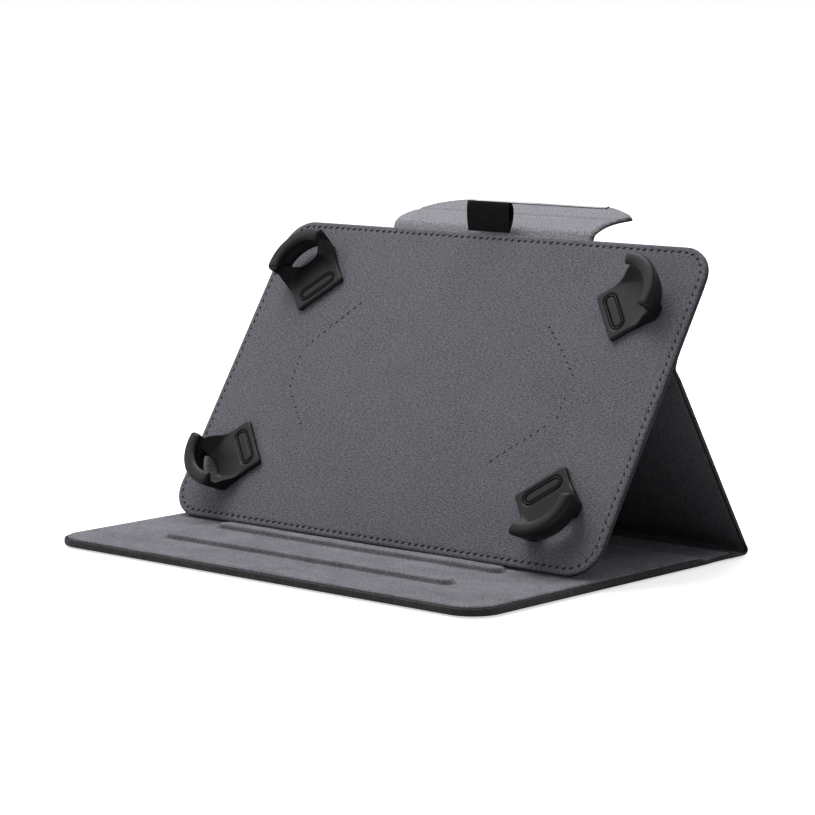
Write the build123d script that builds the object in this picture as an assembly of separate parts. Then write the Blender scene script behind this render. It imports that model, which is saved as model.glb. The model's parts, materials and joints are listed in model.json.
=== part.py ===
from build123d import *
import math
import os

# Universal folio case for a 10 inch tablet, standing open on a table.
# Frame: +X to the right along the fold lines, +Y to the back, +Z up.
# Origin: centre of the base cover's underside, on the table. Sizes in mm, angles in degrees.

# ---------------------------------------------------------------- shared sizes
case_w = 252.0            # base cover, along X
spine_w, leg_w, upper_w = 250.5, 249.5, 246.5
base_depth = 160.0        # base cover, front edge to spine fold
spine_depth = 30.0
upper_len = 54.0          # upper back panel, above the middle fold
corner_r = 15.0           # outer corners of base, upper panel and plate
leather_t = 0.8
board_t = 1.3             # board in spine, leg and upper panel
panel_lining_t = 0.5
glue_t = 0.2              # between upper panel and plate
fold_gap = 0.4            # leather stops this far from each fold axis
lining_inset = 0.4        # linings stop this far inside the leather's sides

plate_w, plate_h = 250.5, 157.3
plate_below_fold = 101.5  # free lower part of the plate, below the middle fold
plate_back_lining_t, plate_board_t, plate_foam_t, plate_lining_t = 0.4, 1.4, 0.8, 0.5
plate_lean = 57.0         # plate from the table
plate_front_y, plate_front_z = -6.6, 5.9   # plate's lower front edge

flap_x = -4.0             # flap centre along X
neck_len, neck_w = 61.0, 122.0             # middle fold to flap fold, and width
flap_gap = 0.9            # leather to the flap's fold axis

# ------------------------------------------------------------- derived places
fold_a = base_depth / 2                 # base / spine fold, Y (Z = 0)
fold_b = fold_a + spine_depth           # spine / leg fold, Y (Z = 0)
board_top = leather_t + board_t
panel_t = board_top + panel_lining_t

# Heights through the plate, from its back
plate_board_z = plate_back_lining_t
plate_foam_z = plate_board_z + plate_board_t
plate_lining_z = plate_foam_z + plate_foam_t
plate_t = plate_lining_z + plate_lining_t


def plate_point(up, back):
    """(Y, Z) of a point up the plate and behind its front face, from its lower front edge."""
    lean = math.radians(plate_lean)
    return (plate_front_y + up * math.cos(lean) + back * math.sin(lean),
            plate_front_z + up * math.sin(lean) - back * math.cos(lean))


stack_t = plate_t + glue_t + panel_t
fold_c = plate_point(plate_below_fold, stack_t)                 # leg / upper panel fold
flap_fold = plate_point(plate_below_fold + neck_len, stack_t)
leg_angle = math.degrees(math.atan2(fold_c[1], fold_c[0] - fold_b))
leg_len = math.hypot(fold_c[1], fold_c[0] - fold_b)

os.makedirs("parts", exist_ok=True)


# -------------------------------------------------------------------- helpers
def save(shape, name):
    # Some operations return a plain list of solids, which export_step can't take.
    if not isinstance(shape, (Solid, Compound)):
        shape = Compound(shape)
    export_step(shape, f"parts/{name}.step")


def sheet(width, y0, y1, z0, z1, front_r=0.0, back_r=0.0, x=0.0):
    """Flat sheet centred on x, with its front (low Y) and back (high Y) corners rounded."""
    body = Pos(x, (y0 + y1) / 2, z0) * extrude(Rectangle(width, y1 - y0), z1 - z0)
    if front_r:
        upright = body.edges().filter_by(Axis.Z)
        body = fillet([e for e in upright if e.center().Y < (y0 + y1) / 2], front_r)
    if back_r:
        upright = body.edges().filter_by(Axis.Z)
        body = fillet([e for e in upright if e.center().Y > y1 - 0.01], back_r)
    return body


def edges_at(shape, z, y_limit=math.inf):
    """Edges centred at height z, in front of y_limit."""
    return [e for e in shape.edges()
            if abs(e.center().Z - z) < 1e-3 and e.center().Y < y_limit]


# ----------------------------------------------------------------- base cover
base_board_t, base_foam_t, base_lining_t = 1.8, 0.9, 0.6
rim_w = 1.0               # leather turned up round the base edge
board_edge = rim_w + 1.4  # cover's edge to the board
board_back = 9.0          # board to the spine fold
board_back_r = 1.5
keeper_len, keeper_w, keeper_t = 84.0, 12.0, 1.0
keeper_y = -58.0
keeper_play = 0.2         # hole round the keeper, on each side
ridge_w, ridge_h, ridge_len = 8.0, 1.6, 168.0
ridge_ys = {"front": -46.0, "rear": -13.0}
cut_over = 1.0            # cutters run this far past the base

base_front = -base_depth / 2
base_foam_z = leather_t + base_board_t
base_lining_z = base_foam_z + base_foam_t
base_top = base_lining_z + base_lining_t
rounded_y = fold_a - 1.0  # only edges in front of this are rounded, not the fold edge


def base_leather():
    """Leather tray, with a rim on all sides but the fold."""
    tray = sheet(case_w, base_front, fold_a - fold_gap, 0, base_lining_z, corner_r)
    pocket = sheet(case_w - 2 * rim_w, base_front + rim_w, fold_a + cut_over,
                   leather_t, base_lining_z + cut_over, corner_r - rim_w)
    tray = tray - pocket
    return fillet(edges_at(tray, 0, rounded_y), 0.6)


def base_filling(z0, z1):
    """Layer inside the rim, short of the spine fold."""
    return sheet(case_w - 2 * board_edge, base_front + board_edge, fold_a - board_back,
                 z0, z1, corner_r - board_edge, board_back_r)


def keeper_block(play=0.0, extra_h=0.0):
    return sheet(keeper_len + 2 * play,
                 keeper_y - keeper_w / 2 - play, keeper_y + keeper_w / 2 + play,
                 leather_t, leather_t + keeper_t + extra_h, x=flap_x)


def base_lining():
    lining = sheet(case_w - 2 * lining_inset, base_front + lining_inset, fold_a - fold_gap,
                   base_lining_z, base_top, corner_r - lining_inset)
    return fillet(edges_at(lining, base_top, rounded_y), 0.35)


def stand_ridge(y):
    """Low bar across the base lining."""
    ridge = sheet(ridge_len, y - ridge_w / 2, y + ridge_w / 2, base_top, base_top + ridge_h)
    ridge = fillet(ridge.edges().filter_by(Axis.Z), 2.0)
    return fillet(edges_at(ridge, base_top + ridge_h), 1.1)


save(base_leather(), "base_leather_cover")
save(base_filling(leather_t, base_foam_z) - keeper_block(keeper_play, 0.1),
     "base_stiffener_board")
save(fillet(keeper_block().edges().filter_by(Axis.Z), 1.0), "closure_keeper_strip")
save(base_filling(base_foam_z, base_lining_z), "base_foam_pad")
save(base_lining(), "base_lining")
for side, ridge_y in ridge_ys.items():
    save(stand_ridge(ridge_y), f"stand_ridge_{side}")

# ------------------------------------------------------ spine and support leg
# The leg and upper panel are drawn flat: +Y up the panel from its fold,
# Z = 0 on the outer leather.
fold_b_axis_h = 1.0       # this fold's axis lies this far inside both outer faces
axis_back = fold_b_axis_h / math.tan(math.radians((180 - leg_angle) / 2))
leather_back = axis_back + 0.3          # leather to fold B, along each panel
set_back = panel_t * math.tan(math.radians(leg_angle / 2)) + 0.8   # room for the inner fold
board_back_b = set_back + 4.0           # board to fold B, along each panel
spine_board_gap, leg_board_gap, upper_board_gap = 7.5, 8.5, 8.0    # board to other fold
board_side = 2.5          # panel's side edge to its board
board_r = 1.0


def save_panel(name, width, place, leather_ys, board_ys, lining_ys):
    """Leather, board and lining of a panel, each between its two Y values."""
    save(place * sheet(width, *leather_ys, 0, leather_t), f"{name}_leather")
    save(place * sheet(width - 2 * board_side, *board_ys, leather_t, board_top,
                       board_r, board_r), f"{name}_board")
    save(place * sheet(width - 2 * lining_inset, *lining_ys, board_top, panel_t),
         f"{name}_lining")


save_panel("spine", spine_w, Pos(0, 0, 0),
           leather_ys=(fold_a + fold_gap, fold_b - leather_back),
           board_ys=(fold_a + spine_board_gap, fold_b - board_back_b),
           lining_ys=(fold_a + fold_gap, fold_b - set_back))
save_panel("leg", leg_w, Pos(0, fold_b, 0) * Rot(leg_angle, 0, 0),
           leather_ys=(leather_back, leg_len - fold_gap),
           board_ys=(board_back_b, leg_len - leg_board_gap),
           lining_ys=(set_back, leg_len - fold_gap))

# ------------------------------------------------------ upper panel and flap neck
neck_overlap = 12.0       # neck runs this far into the upper leather
neck_lining_gap = 0.7     # neck lining starts this far past the upper panel
upper_board_edge = 2.6    # panel's top edge to its board
upper_lining_side, upper_lining_top, upper_lining_corner = 1.5, 1.0, 1.5

upper_place = Pos(0, *fold_c) * Rot(plate_lean, 0, 0)
neck_end = neck_len - flap_gap
upper_leather = sheet(upper_w, fold_gap, upper_len, 0, leather_t, 0, corner_r)
neck = sheet(neck_w, upper_len - neck_overlap, neck_end, 0, leather_t, x=flap_x)
save(upper_place * (upper_leather + neck), "upper_back_leather")
save(upper_place * sheet(upper_w - 2 * board_side, upper_board_gap, upper_len - upper_board_edge,
                         leather_t, board_top, board_r, corner_r - upper_board_edge),
     "upper_back_board")
save(upper_place * sheet(neck_w - 2 * lining_inset, upper_len + neck_lining_gap, neck_end,
                         leather_t, leather_t + panel_lining_t, x=flap_x),
     "flap_neck_lining")
save(upper_place * sheet(upper_w - 2 * upper_lining_side, fold_gap, upper_len - upper_lining_top,
                         board_top, panel_t + glue_t, 0, corner_r - upper_lining_corner),
     "upper_back_lining")

# --------------------------------------------------------------- tablet plate
# Drawn flat: X across, Y up the plate from its lower edge, Z = 0 at its back.
plate_place = Pos(0, *plate_point(0, plate_t)) * Rot(plate_lean, 0, 0)

# Corner clips: X and Y of the middle of the foot's inner edge, the angle the clip
# points at, and how far inside that edge its strap is sewn down.
clips = {
    "top_left": (-85.6, 117.4, 133.5, 19.0),
    "top_right": (82.3, 118.2, 38.5, 23.0),
    "bottom_left": (-88.2, 40.0, 221.5, 24.0),
    "bottom_right": (82.2, 39.6, -50.0, 26.0),
}
# Along each clip, from its foot's inner edge
slit_y, slit_w = 6.0, 1.4      # slit in the lining; the strap anchor is centred on it
tab_y0, tab_y1 = 2.0, 10.5     # strap end under the foot
tab_w, tab_t = 18.0, 0.7       # strap width and thickness
channel_w = tab_w + 2          # room for the strap in foam and lining
slit_over = 0.5                # cutters run this far past the layer


def on_plate(x, y, angle, z=0.0):
    """Frame on the plate: Y along the clip's outward direction, Z off the plate."""
    return Pos(x, y, z) * Rot(0, 0, angle - 90.0)


def plate_sheet(z0, z1, inset=0.0):
    return sheet(plate_w - 2 * inset, inset, plate_h - inset, z0, z1,
                 corner_r - inset, corner_r - inset)


foam = plate_sheet(plate_foam_z, plate_lining_z, 0.8)
lining = plate_sheet(plate_lining_z, plate_t)
lining = fillet(edges_at(lining, plate_t), 0.3)
for x, y, angle, strap_len in clips.values():
    foam = foam - on_plate(x, y, angle) * sheet(
        channel_w, -strap_len, slit_y + 1, plate_foam_z - slit_over, plate_lining_z)
    lining = lining - on_plate(x, y, angle) * sheet(
        channel_w, slit_y - slit_w / 2, slit_y + slit_w / 2,
        plate_lining_z - slit_over, plate_t + slit_over)

save(plate_place * plate_sheet(0, plate_board_z, 0.6), "plate_back_lining")
save(plate_place * plate_sheet(plate_board_z, plate_foam_z, 0.8), "plate_board")
save(plate_place * foam, "plate_foam_layer")
save(plate_place * lining, "plate_front_lining")

# ---------------------------------------------------- elastic straps and clips
clip_gap = 0.15           # clip foot above the plate lining
clip_foot_t, clip_h, clip_wall = 2.4, 14.0, 2.4
clip_lip_w, clip_lip_t = 7.4, 2.2
clip_reach = 33.6         # foot's inner edge to the outside of the jaw
clip_arch = 3.2           # the jaw's wall bridges over this height
jaw_x, jaw_y = 17.1, 24.6  # ends of the jaw's outer arc
window_x, window_y0, window_y1 = 11.0, 30.0, 40.0   # half width, arc ends, outer end
window_mid_y = 24.4       # middle of the window's inner arc
ring_h, ring_sink = 1.0, 0.2
strap_z = plate_foam_z + 0.05
strap_end_gap = 0.5       # strap short of the sewn line and of the slit's centre
tab_z = plate_t + 0.08


def jaw_arc():
    return ThreePointArc((jaw_x, jaw_y), (0, clip_reach), (-jaw_x, jaw_y))


def jaw_band(depth, z0, z1):
    """Curved band, depth wide inwards from the jaw's outer arc."""
    end_x, end_y = jaw_x - depth * 0.45, jaw_y - depth * 0.85
    outer = jaw_arc()
    inner = ThreePointArc((-end_x, end_y), (0, clip_reach - depth), (end_x, end_y))
    face = make_face([outer, Line(outer @ 1, inner @ 0), inner, Line(inner @ 1, outer @ 0)])
    return Pos(0, 0, z0) * extrude(face, z1 - z0)


def clip_window():
    """Opening between the arms, running out under the jaw."""
    face = make_face([
        ThreePointArc((-window_x, window_y0), (0, window_mid_y), (window_x, window_y0)),
        Line((window_x, window_y0), (window_x, window_y1)),
        Line((window_x, window_y1), (-window_x, window_y1)),
        Line((-window_x, window_y1), (-window_x, window_y0)),
    ])
    return Pos(0, 0, -1) * extrude(face, clip_arch + 1)


def corner_clip():
    """Corner clip, drawn with its foot's inner edge on X and its jaw towards +Y."""
    outline = make_face([
        Line((-13.3, 0), (13.3, 0)),
        Spline((13.3, 0), (13.2, 8), (14.3, 15), (jaw_x, jaw_y)),
        jaw_arc(),
        Spline((-jaw_x, jaw_y), (-14.3, 15), (-13.2, 8), (-13.3, 0)),
    ])
    body = extrude(outline, clip_foot_t)
    body = body + jaw_band(clip_wall, 0, clip_h)
    body = body + jaw_band(clip_lip_w, clip_h - clip_lip_t, clip_h)
    body = body - clip_window()
    # raised oval ring round the strap anchor
    body = body + Pos(0, slit_y, clip_foot_t - ring_sink) * (
        extrude(SlotOverall(20.0, 6.4), ring_h) - extrude(SlotOverall(17.2, 3.6), ring_h))
    # shallow recess under the foot for the end of the strap, open at its inner edge
    return body - sheet(tab_w + 1.0, -2.0, 12.0, -0.1, tab_t + 0.25)


clip = corner_clip()
for name, (x, y, angle, strap_len) in clips.items():
    frame = plate_place * on_plate(x, y, angle)
    save(frame * sheet(tab_w, strap_end_gap - strap_len, slit_y - strap_end_gap,
                       strap_z, strap_z + tab_t), f"elastic_strap_{name}")
    save(frame * sheet(tab_w, tab_y0, tab_y1, tab_z, tab_z + tab_t), f"strap_end_{name}")
    save(plate_place * on_plate(x, y, angle, plate_t + clip_gap) * clip, f"corner_clip_{name}")

# ----------------------------------------------------------------------- flap
# Drawn flat: Y from the flap's fold to its tip, Z = 0 on the leather's outer face.
flap_rise = 14.2          # flap from the table
flap_crease = 17.3        # flap fold to flap crease
flap_len = 36.6
flap_leather_t, flap_stiff_t, flap_lining_t = 0.7, 0.7, 0.5
stiff_inset = 1.2
tip_x = 41.0              # half width of the straight tip edge
past_tip = 60.0           # any Y beyond the tip
bar_len, bar_w, bar_t = 80.0, 3.6, 1.4
bar_y = flap_len - 0.9 - bar_w / 2
bar_play = 0.2            # room round the bar, on each side

flap_place = Pos(flap_x, *flap_fold) * Rot(flap_rise, 0, 0)
flap_lining_z = flap_leather_t + flap_stiff_t
flap_t = flap_lining_z + flap_lining_t
leather_crease_gap = flap_leather_t + 0.2
inner_crease_gap = flap_t + 0.4         # stiffener and lining to the crease


def flap_outline(d):
    """Tongue with a pointed ear each side, drawn in by about d.

    Its left edge is fuller near the fold than its right.
    """
    tip_y = flap_len - d
    right_ear = (62.4 - d * 1.6, 22.6)
    left_ear = (-62.4 + d, 21.2)
    return make_face([
        Spline((60.4 - d, 0), (57.6 - d, 4.5), (56.0 - d, 11), (57.6 - d, 17.8), right_ear),
        Spline(right_ear, (55.4 - d, 28.6 - d * 0.7), (46.4 - d * 0.5, 34.0 - d),
               (tip_x, tip_y)),
        Line((tip_x, tip_y), (-tip_x, tip_y)),
        Spline((-tip_x, tip_y), (-48.6 + d * 0.5, 34.8 - d), (-57.4 + d, 28.8 - d * 0.6),
               left_ear),
        Spline(left_ear, (-64.4 + d, 12.4), (-64.4 + d, 5), (-61.2 + d, 0)),
        Line((-61.2 + d, 0), (60.4 - d, 0)),
    ])


def flap_layer(z0, z1, y0, y1, inset=0.0):
    """The part of a flap layer between y0 and y1."""
    body = Pos(0, 0, z0) * extrude(flap_outline(inset), z1 - z0)
    return body & sheet(200, y0, y1, z0, z1)


def bar_block(height, play=0.0):
    return sheet(bar_len + 2 * play, bar_y - bar_w / 2 - play, bar_y + bar_w / 2 + play,
                 flap_leather_t, flap_leather_t + height)


# Each layer: name, Z from and to, gap to the fold, gap to the crease, inset
flap_layers = [
    ("leather", 0, flap_leather_t, flap_gap, leather_crease_gap, 0.0),
    ("stiffener", flap_leather_t, flap_lining_z, 2.0, inner_crease_gap, stiff_inset),
    ("lining", flap_lining_z, flap_t, 1.8, inner_crease_gap, lining_inset),
]
for name, z0, z1, gap_at_fold, crease_gap, inset in flap_layers:
    near = flap_layer(z0, z1, gap_at_fold, flap_crease - crease_gap, inset)
    tip = flap_layer(z0, z1, flap_crease + crease_gap, past_tip, inset)
    if name != "leather":
        tip = tip - bar_block(5, bar_play)
    save(flap_place * near, f"flap_{name}")
    save(flap_place * tip, f"flap_tip_{name}")

bar = bar_block(bar_t)
bar = fillet(edges_at(bar, flap_leather_t + bar_t), 0.4)
save(flap_place * bar, "closure_bar")

# ------------------------------------------------------------------- pen loop
loop_x, loop_w, loop_h = -2.4, 25.0, 14.0
loop_off_y, loop_off_z = 0.8, 0.5       # from the plate's upper front edge
loop_inner_top = loop_h - 1.0


def pen_loop():
    """Teardrop loop; its outlines are (Y, Z) points from its foot."""
    outer = make_face([
        Spline((0, 0), (-1.1, 4.2), (-1.3, 7.4), (-0.8, 11.4), (0.9, loop_h)),
        Spline((0.9, loop_h), (3.9, 11.4), (4.7, 7.7), (3.1, 3.9), (0, 0)),
    ])
    inner = make_face([
        Spline((0.6, 2.9), (-0.2, 7.2), (0.1, 10.8), (1.2, loop_inner_top)),
        Spline((1.2, loop_inner_top), (3.0, 10.8), (3.6, 7.7), (2.4, 4.7), (0.6, 2.9)),
    ])
    return extrude(Plane.YZ * (outer - inner), loop_w)


plate_top_y, plate_top_z = plate_point(plate_h, 0)
save(Pos(loop_x - loop_w / 2, plate_top_y + loop_off_y, plate_top_z + loop_off_z) * pen_loop(),
     "pen_loop")
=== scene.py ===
import json
import math

import bmesh
import bpy
import numpy as np
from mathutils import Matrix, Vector


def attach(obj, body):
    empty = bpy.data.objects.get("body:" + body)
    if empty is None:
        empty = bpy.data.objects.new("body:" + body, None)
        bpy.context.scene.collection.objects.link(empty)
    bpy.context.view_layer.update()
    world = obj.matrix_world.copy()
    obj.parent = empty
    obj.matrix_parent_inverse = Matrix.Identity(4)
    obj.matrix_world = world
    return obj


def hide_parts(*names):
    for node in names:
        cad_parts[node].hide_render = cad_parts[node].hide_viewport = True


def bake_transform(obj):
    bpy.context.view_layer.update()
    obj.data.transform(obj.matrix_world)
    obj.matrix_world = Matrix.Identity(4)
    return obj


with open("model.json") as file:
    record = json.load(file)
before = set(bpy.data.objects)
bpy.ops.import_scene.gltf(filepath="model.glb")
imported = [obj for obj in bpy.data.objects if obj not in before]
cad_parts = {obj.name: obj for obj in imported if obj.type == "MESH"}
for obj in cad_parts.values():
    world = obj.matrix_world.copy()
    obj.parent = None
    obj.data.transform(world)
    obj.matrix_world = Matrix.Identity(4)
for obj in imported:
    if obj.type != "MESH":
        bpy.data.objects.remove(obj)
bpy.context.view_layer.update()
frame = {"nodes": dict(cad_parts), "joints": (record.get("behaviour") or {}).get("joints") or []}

# A folding tablet case, standing open. The base cover lies on the floor with its front edge
# towards -Y. Behind it come the spine and the support leg; the leg meets the upper back panel
# at the middle fold. The tablet plate leans back over the base, with four corner clips on its
# face, and a closure flap folds out from the top. X runs across the case.
#
# Lengths are in millimetres and angles in degrees, unless a line says otherwise. Each panel is
# modelled flat, with x across, y along and z through its thickness from the outer side. It is
# then placed by a function that maps flat points into the frame.

scene = bpy.context.scene
MM = 0.001

# =====================================================================
# Sizes
# =====================================================================
CASE_W, SPINE_W, LEG_W, UPPER_W = 252.0, 250.5, 249.5, 246.5
BASE_FRONT, FOLD_A, FOLD_B = -80.0, 80.0, 110.0    # y of the front edge and the spine's folds
SPINE_MIDDLE = (FOLD_A + FOLD_B) / 2
PLATE_W, PLATE_H, PLATE_T = 250.5, 157.3, 3.1
LEAN = 57.0             # plate and upper back panel, above the floor
CORNER_R = 15.0
LEATHER_T = 0.72
FOLD_T = 1.62           # leather thickness over a fold line
FLAP_X, FLAP_RISE, FLAP_LEN = -4.0, 14.2, 36.6
CREASE = 17.3           # y of the crease between flap and tip


def joint_place(name):
    position = next(j for j in frame["joints"] if j["name"] == name)["pos_m"]
    return position[1] / MM, position[2] / MM


FOLD_C = joint_place("middle_fold")
FLAP_FOLD = joint_place("flap_fold")
PEN_LOOP = joint_place("pen_loop_flop")
LEG_ANGLE = math.degrees(math.atan2(FOLD_C[1], FOLD_C[0] - FOLD_B))
LEG_LEN = math.hypot(FOLD_C[1], FOLD_C[0] - FOLD_B)
LEG_SPLIT = 52.0        # the leg's covering is in two pieces that meet here, from FOLD_B
LEG_REST = LEG_LEN - LEG_SPLIT


def direction(angle):
    return np.array([math.cos(math.radians(angle)), math.sin(math.radians(angle))])


def left_of(angle):
    return np.array([-math.sin(math.radians(angle)), math.cos(math.radians(angle))])


# =====================================================================
# Placing flat panels
# =====================================================================


def flat(origin, angle, shift_x=0.0):
    """Panel that starts at origin (y, z) and rises at an angle."""
    along, normal = direction(angle), left_of(angle)

    def place(points):
        side = np.outer(points[:, 1], along) + np.outer(points[:, 2], normal)
        return np.column_stack([points[:, 0] + shift_x, origin[0] + side[:, 0],
                                origin[1] + side[:, 1]])

    return place


def bent(corner, angle_in, angle_out, radius, corner_y=0.0, shift_x=0.0):
    """Panel that turns at a rounded corner, whose sharp point is at flat y = corner_y."""
    turn = angle_out - angle_in
    sign = 1.0 if turn > 0 else -1.0
    reach = radius * math.tan(math.radians(abs(turn)) / 2)
    corner = np.array(corner, float)
    along_in, along_out = direction(angle_in), direction(angle_out)
    centre = corner - reach * along_in + sign * radius * left_of(angle_in)

    def place(points):
        y = points[:, 1] - corner_y
        share = np.clip((y + reach) / (2 * reach), 0, 1)
        angle = np.radians(angle_in + turn * share)
        normal = np.column_stack([-np.sin(angle), np.cos(angle)])
        before = corner + np.outer(y, along_in)
        after = corner + np.outer(y, along_out)
        arc = centre - sign * radius * normal
        base = np.where((y < -reach)[:, None], before,
                        np.where((y > reach)[:, None], after, arc))
        side = base + points[:, 2:3] * normal
        return np.column_stack([points[:, 0] + shift_x, side[:, 0], side[:, 1]])

    return place


on_base = flat((0.0, 0.0), 0.0)
on_spine = bent((FOLD_B, 0.0), 0.0, LEG_ANGLE, radius=2.6, corner_y=FOLD_B)
on_upper = bent(FOLD_C, LEG_ANGLE, LEAN, radius=1.2)
on_plate = flat(np.array([-6.6, 5.9]) - PLATE_T * left_of(LEAN), LEAN)
on_neck = bent(FLAP_FOLD, LEAN, FLAP_RISE, radius=3.0, shift_x=FLAP_X)
on_flap = flat(FLAP_FOLD, FLAP_RISE, shift_x=FLAP_X)

# =====================================================================
# Curves and outlines
# =====================================================================


def smoothstep(t):
    t = np.clip(t, 0, 1)
    return t * t * (3 - 2 * t)


def waves(x, y, seed, wavelength):
    """Smooth seeded undulation, about -1 to 1."""
    rng = np.random.default_rng(seed)
    out = np.zeros_like(x, dtype=float)
    total = 0.0
    for _ in range(7):
        angle = rng.uniform(0, 2 * math.pi)
        pace = 2 * math.pi / (wavelength * rng.uniform(0.6, 1.9))
        size = rng.uniform(0.5, 1.0)
        across = x * math.cos(angle) + y * math.sin(angle)
        out += size * np.sin(pace * across + rng.uniform(0, 6.28))
        total += size
    return out / total * 1.6


def smooth_curve(knots, at):
    """Catmull-Rom curve through (position, value) knots."""
    i = int(np.clip(np.searchsorted(knots[:, 0], at) - 1, 0, len(knots) - 2))

    def slope(first, last):
        run = knots[last] - knots[first]
        return run[1] / run[0]

    (x0, y0), (x1, y1) = knots[i], knots[i + 1]
    slope0 = slope(max(i - 1, 0), i + 1)
    slope1 = slope(i, min(i + 2, len(knots) - 1))
    span = x1 - x0
    t = (at - x0) / span
    return ((2 * t ** 3 - 3 * t ** 2 + 1) * y0 + (t ** 3 - 2 * t ** 2 + t) * span * slope0 +
            (-2 * t ** 3 + 3 * t ** 2) * y1 + (t ** 3 - t ** 2) * span * slope1)


def top_profile(knots):
    """Height as a function of y, eased between (y, height) knots and level beyond them."""
    places, heights = np.array(knots, float).T

    def top(y):
        out = np.full(y.shape, heights[0])
        for i in range(len(places) - 1):
            share = smoothstep((y - places[i]) / (places[i + 1] - places[i]))
            eased = heights[i] + (heights[i + 1] - heights[i]) * share
            out = np.where(y >= places[i], eased, out)
        return np.where(y >= places[-1], heights[-1], out)

    return top


# An outline is (points, outward normals, indices of its open edges), counter-clockwise.


def strip_outline(stations, start_radius=0.0, end_radius=0.0, segments=12):
    """Outline symmetric about x = 0 from (y, half width) stations.
    An end with no radius is open, where the piece meets its neighbour."""

    def corner(station, radius, first_angle):
        y, half_width = station
        if radius == 0:
            return [(half_width, y, 1.0, 0.0)]
        centre_y = y + radius if first_angle < 0 else y - radius
        out = []
        for i in range(segments + 1):
            angle = first_angle + math.pi / 2 * i / segments
            cosine, sine = math.cos(angle), math.sin(angle)
            out.append((half_width - radius + radius * cosine, centre_y + radius * sine,
                        cosine, sine))
        return out

    right = corner(stations[0], start_radius, -math.pi / 2)
    right += [(half_width, y, 1.0, 0.0) for y, half_width in stations[1:-1]]
    right += corner(stations[-1], end_radius, 0.0)
    left = [(-x, y, -normal_x, normal_y) for x, y, normal_x, normal_y in reversed(right)]
    table = np.array(right + left)
    open_edges = set()
    if end_radius == 0:
        open_edges.add(len(right) - 1)
    if start_radius == 0:
        open_edges.add(2 * len(right) - 1)
    return table[:, :2], table[:, 2:], open_edges


def mitred_outline(points):
    """Closed counter-clockwise outline with mitred outward normals."""
    points = np.array(points, float)
    normals = np.zeros_like(points)
    for i in range(len(points)):
        edges = (points[i] - points[i - 1], points[(i + 1) % len(points)] - points[i])
        units = [edge / max(np.linalg.norm(edge), 1e-9) for edge in edges]
        first, second = (np.array([unit[1], -unit[0]]) for unit in units)
        mitre = first + second
        length = np.linalg.norm(mitre)
        mitre = mitre / length if length > 1e-6 else first
        normals[i] = mitre / max(0.45, float(mitre @ first))
    return points, normals, set()


def cuts_between(start, end, step):
    count = max(1, int(round((end - start) / step)))
    return [start + (end - start) * i / count for i in range(1, count)]


def cuts_about(centre, reach, count):
    return [centre - reach + 2 * reach * i / (count - 1) for i in range(count)]


# =====================================================================
# Mesh building
# =====================================================================
RIM_MARK = 40.0     # lifts the rings that follow the top profile clear of the fixed ones


def outline_distance(coords, outline):
    """Distance of each point to the closed edges of an outline."""
    points, _, open_edges = outline
    following = np.roll(points, -1, axis=0)
    distance = np.full(len(coords), 1e9)
    for i in range(len(points)):
        if i in open_edges:
            continue
        edge = following[i] - points[i]
        share = ((coords[:, :2] - points[i]) @ edge) / max(edge @ edge, 1e-12)
        nearest = points[i] + np.clip(share, 0, 1)[:, None] * edge
        distance = np.minimum(distance, np.linalg.norm(coords[:, :2] - nearest, axis=1))
    return distance


def ring_solid(outline, rings, top=None, x_cuts=(), y_cuts=(), caps_first=False):
    """Closed flat solid built from rings of an outline, lower cap first.
    rings: (inset, height, 1 if the height is measured from the top profile, else 0).
    Returns the points, the faces and each point's distance to the outline."""
    points, normals, open_edges = outline
    count = len(points)
    fixed_top = max(height for _, height, follows in rings if not follows)
    rim_low = min((height for _, height, follows in rings if follows), default=0.0) + RIM_MARK
    solid = bmesh.new()
    layers = []
    for inset, height, follows in rings:
        ring = points - normals * inset
        level = height + RIM_MARK * follows
        layers.append([solid.verts.new((x, y, level)) for x, y in ring])
    caps = [solid.faces.new(list(reversed(layers[0]))), solid.faces.new(layers[-1])]
    for lower, upper in zip(layers[:-1], layers[1:]):
        for i in range(count):
            if i not in open_edges:
                j = (i + 1) % count
                solid.faces.new((lower[i], lower[j], upper[j], upper[i]))
    if caps_first:
        bmesh.ops.triangulate(solid, faces=caps)
    for axis, cuts in (((0, 1, 0), y_cuts), ((1, 0, 0), x_cuts)):
        for cut in cuts:
            bmesh.ops.bisect_plane(solid, geom=solid.verts[:] + solid.edges[:] + solid.faces[:],
                                   dist=1e-5, plane_co=[cut * part for part in axis],
                                   plane_no=axis)
    if open_edges:
        boundary = [edge for edge in solid.edges if edge.is_boundary]
        bmesh.ops.holes_fill(solid, edges=boundary, sides=0)
    large = [face for face in solid.faces if len(face.verts) > 4]
    if large:
        bmesh.ops.triangulate(solid, faces=large)
    bmesh.ops.recalc_face_normals(solid, faces=solid.faces[:])
    solid.verts.ensure_lookup_table()
    solid.verts.index_update()
    coords = np.array([vert.co[:] for vert in solid.verts], float)
    faces = [[vert.index for vert in face.verts] for face in solid.faces]
    solid.free()
    # rings that follow the profile drop onto it, and cut points between are spread evenly
    level = coords[:, 2].copy()
    rise = top(coords[:, 1]) if top else 0.0
    share = (level - fixed_top) / max(rim_low - fixed_top, 1e-9)
    between = fixed_top + (rim_low - RIM_MARK + rise - fixed_top) * share
    followed = np.where(level >= rim_low - 1e-6, level - RIM_MARK + rise, between)
    coords[:, 2] = np.where(level <= fixed_top + 1e-6, level, followed)
    return coords, faces, outline_distance(coords, outline)


def face_outwards(mesh):
    edited = bmesh.new()
    edited.from_mesh(mesh)
    bmesh.ops.recalc_face_normals(edited, faces=edited.faces[:])
    edited.to_mesh(mesh)
    edited.free()


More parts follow.
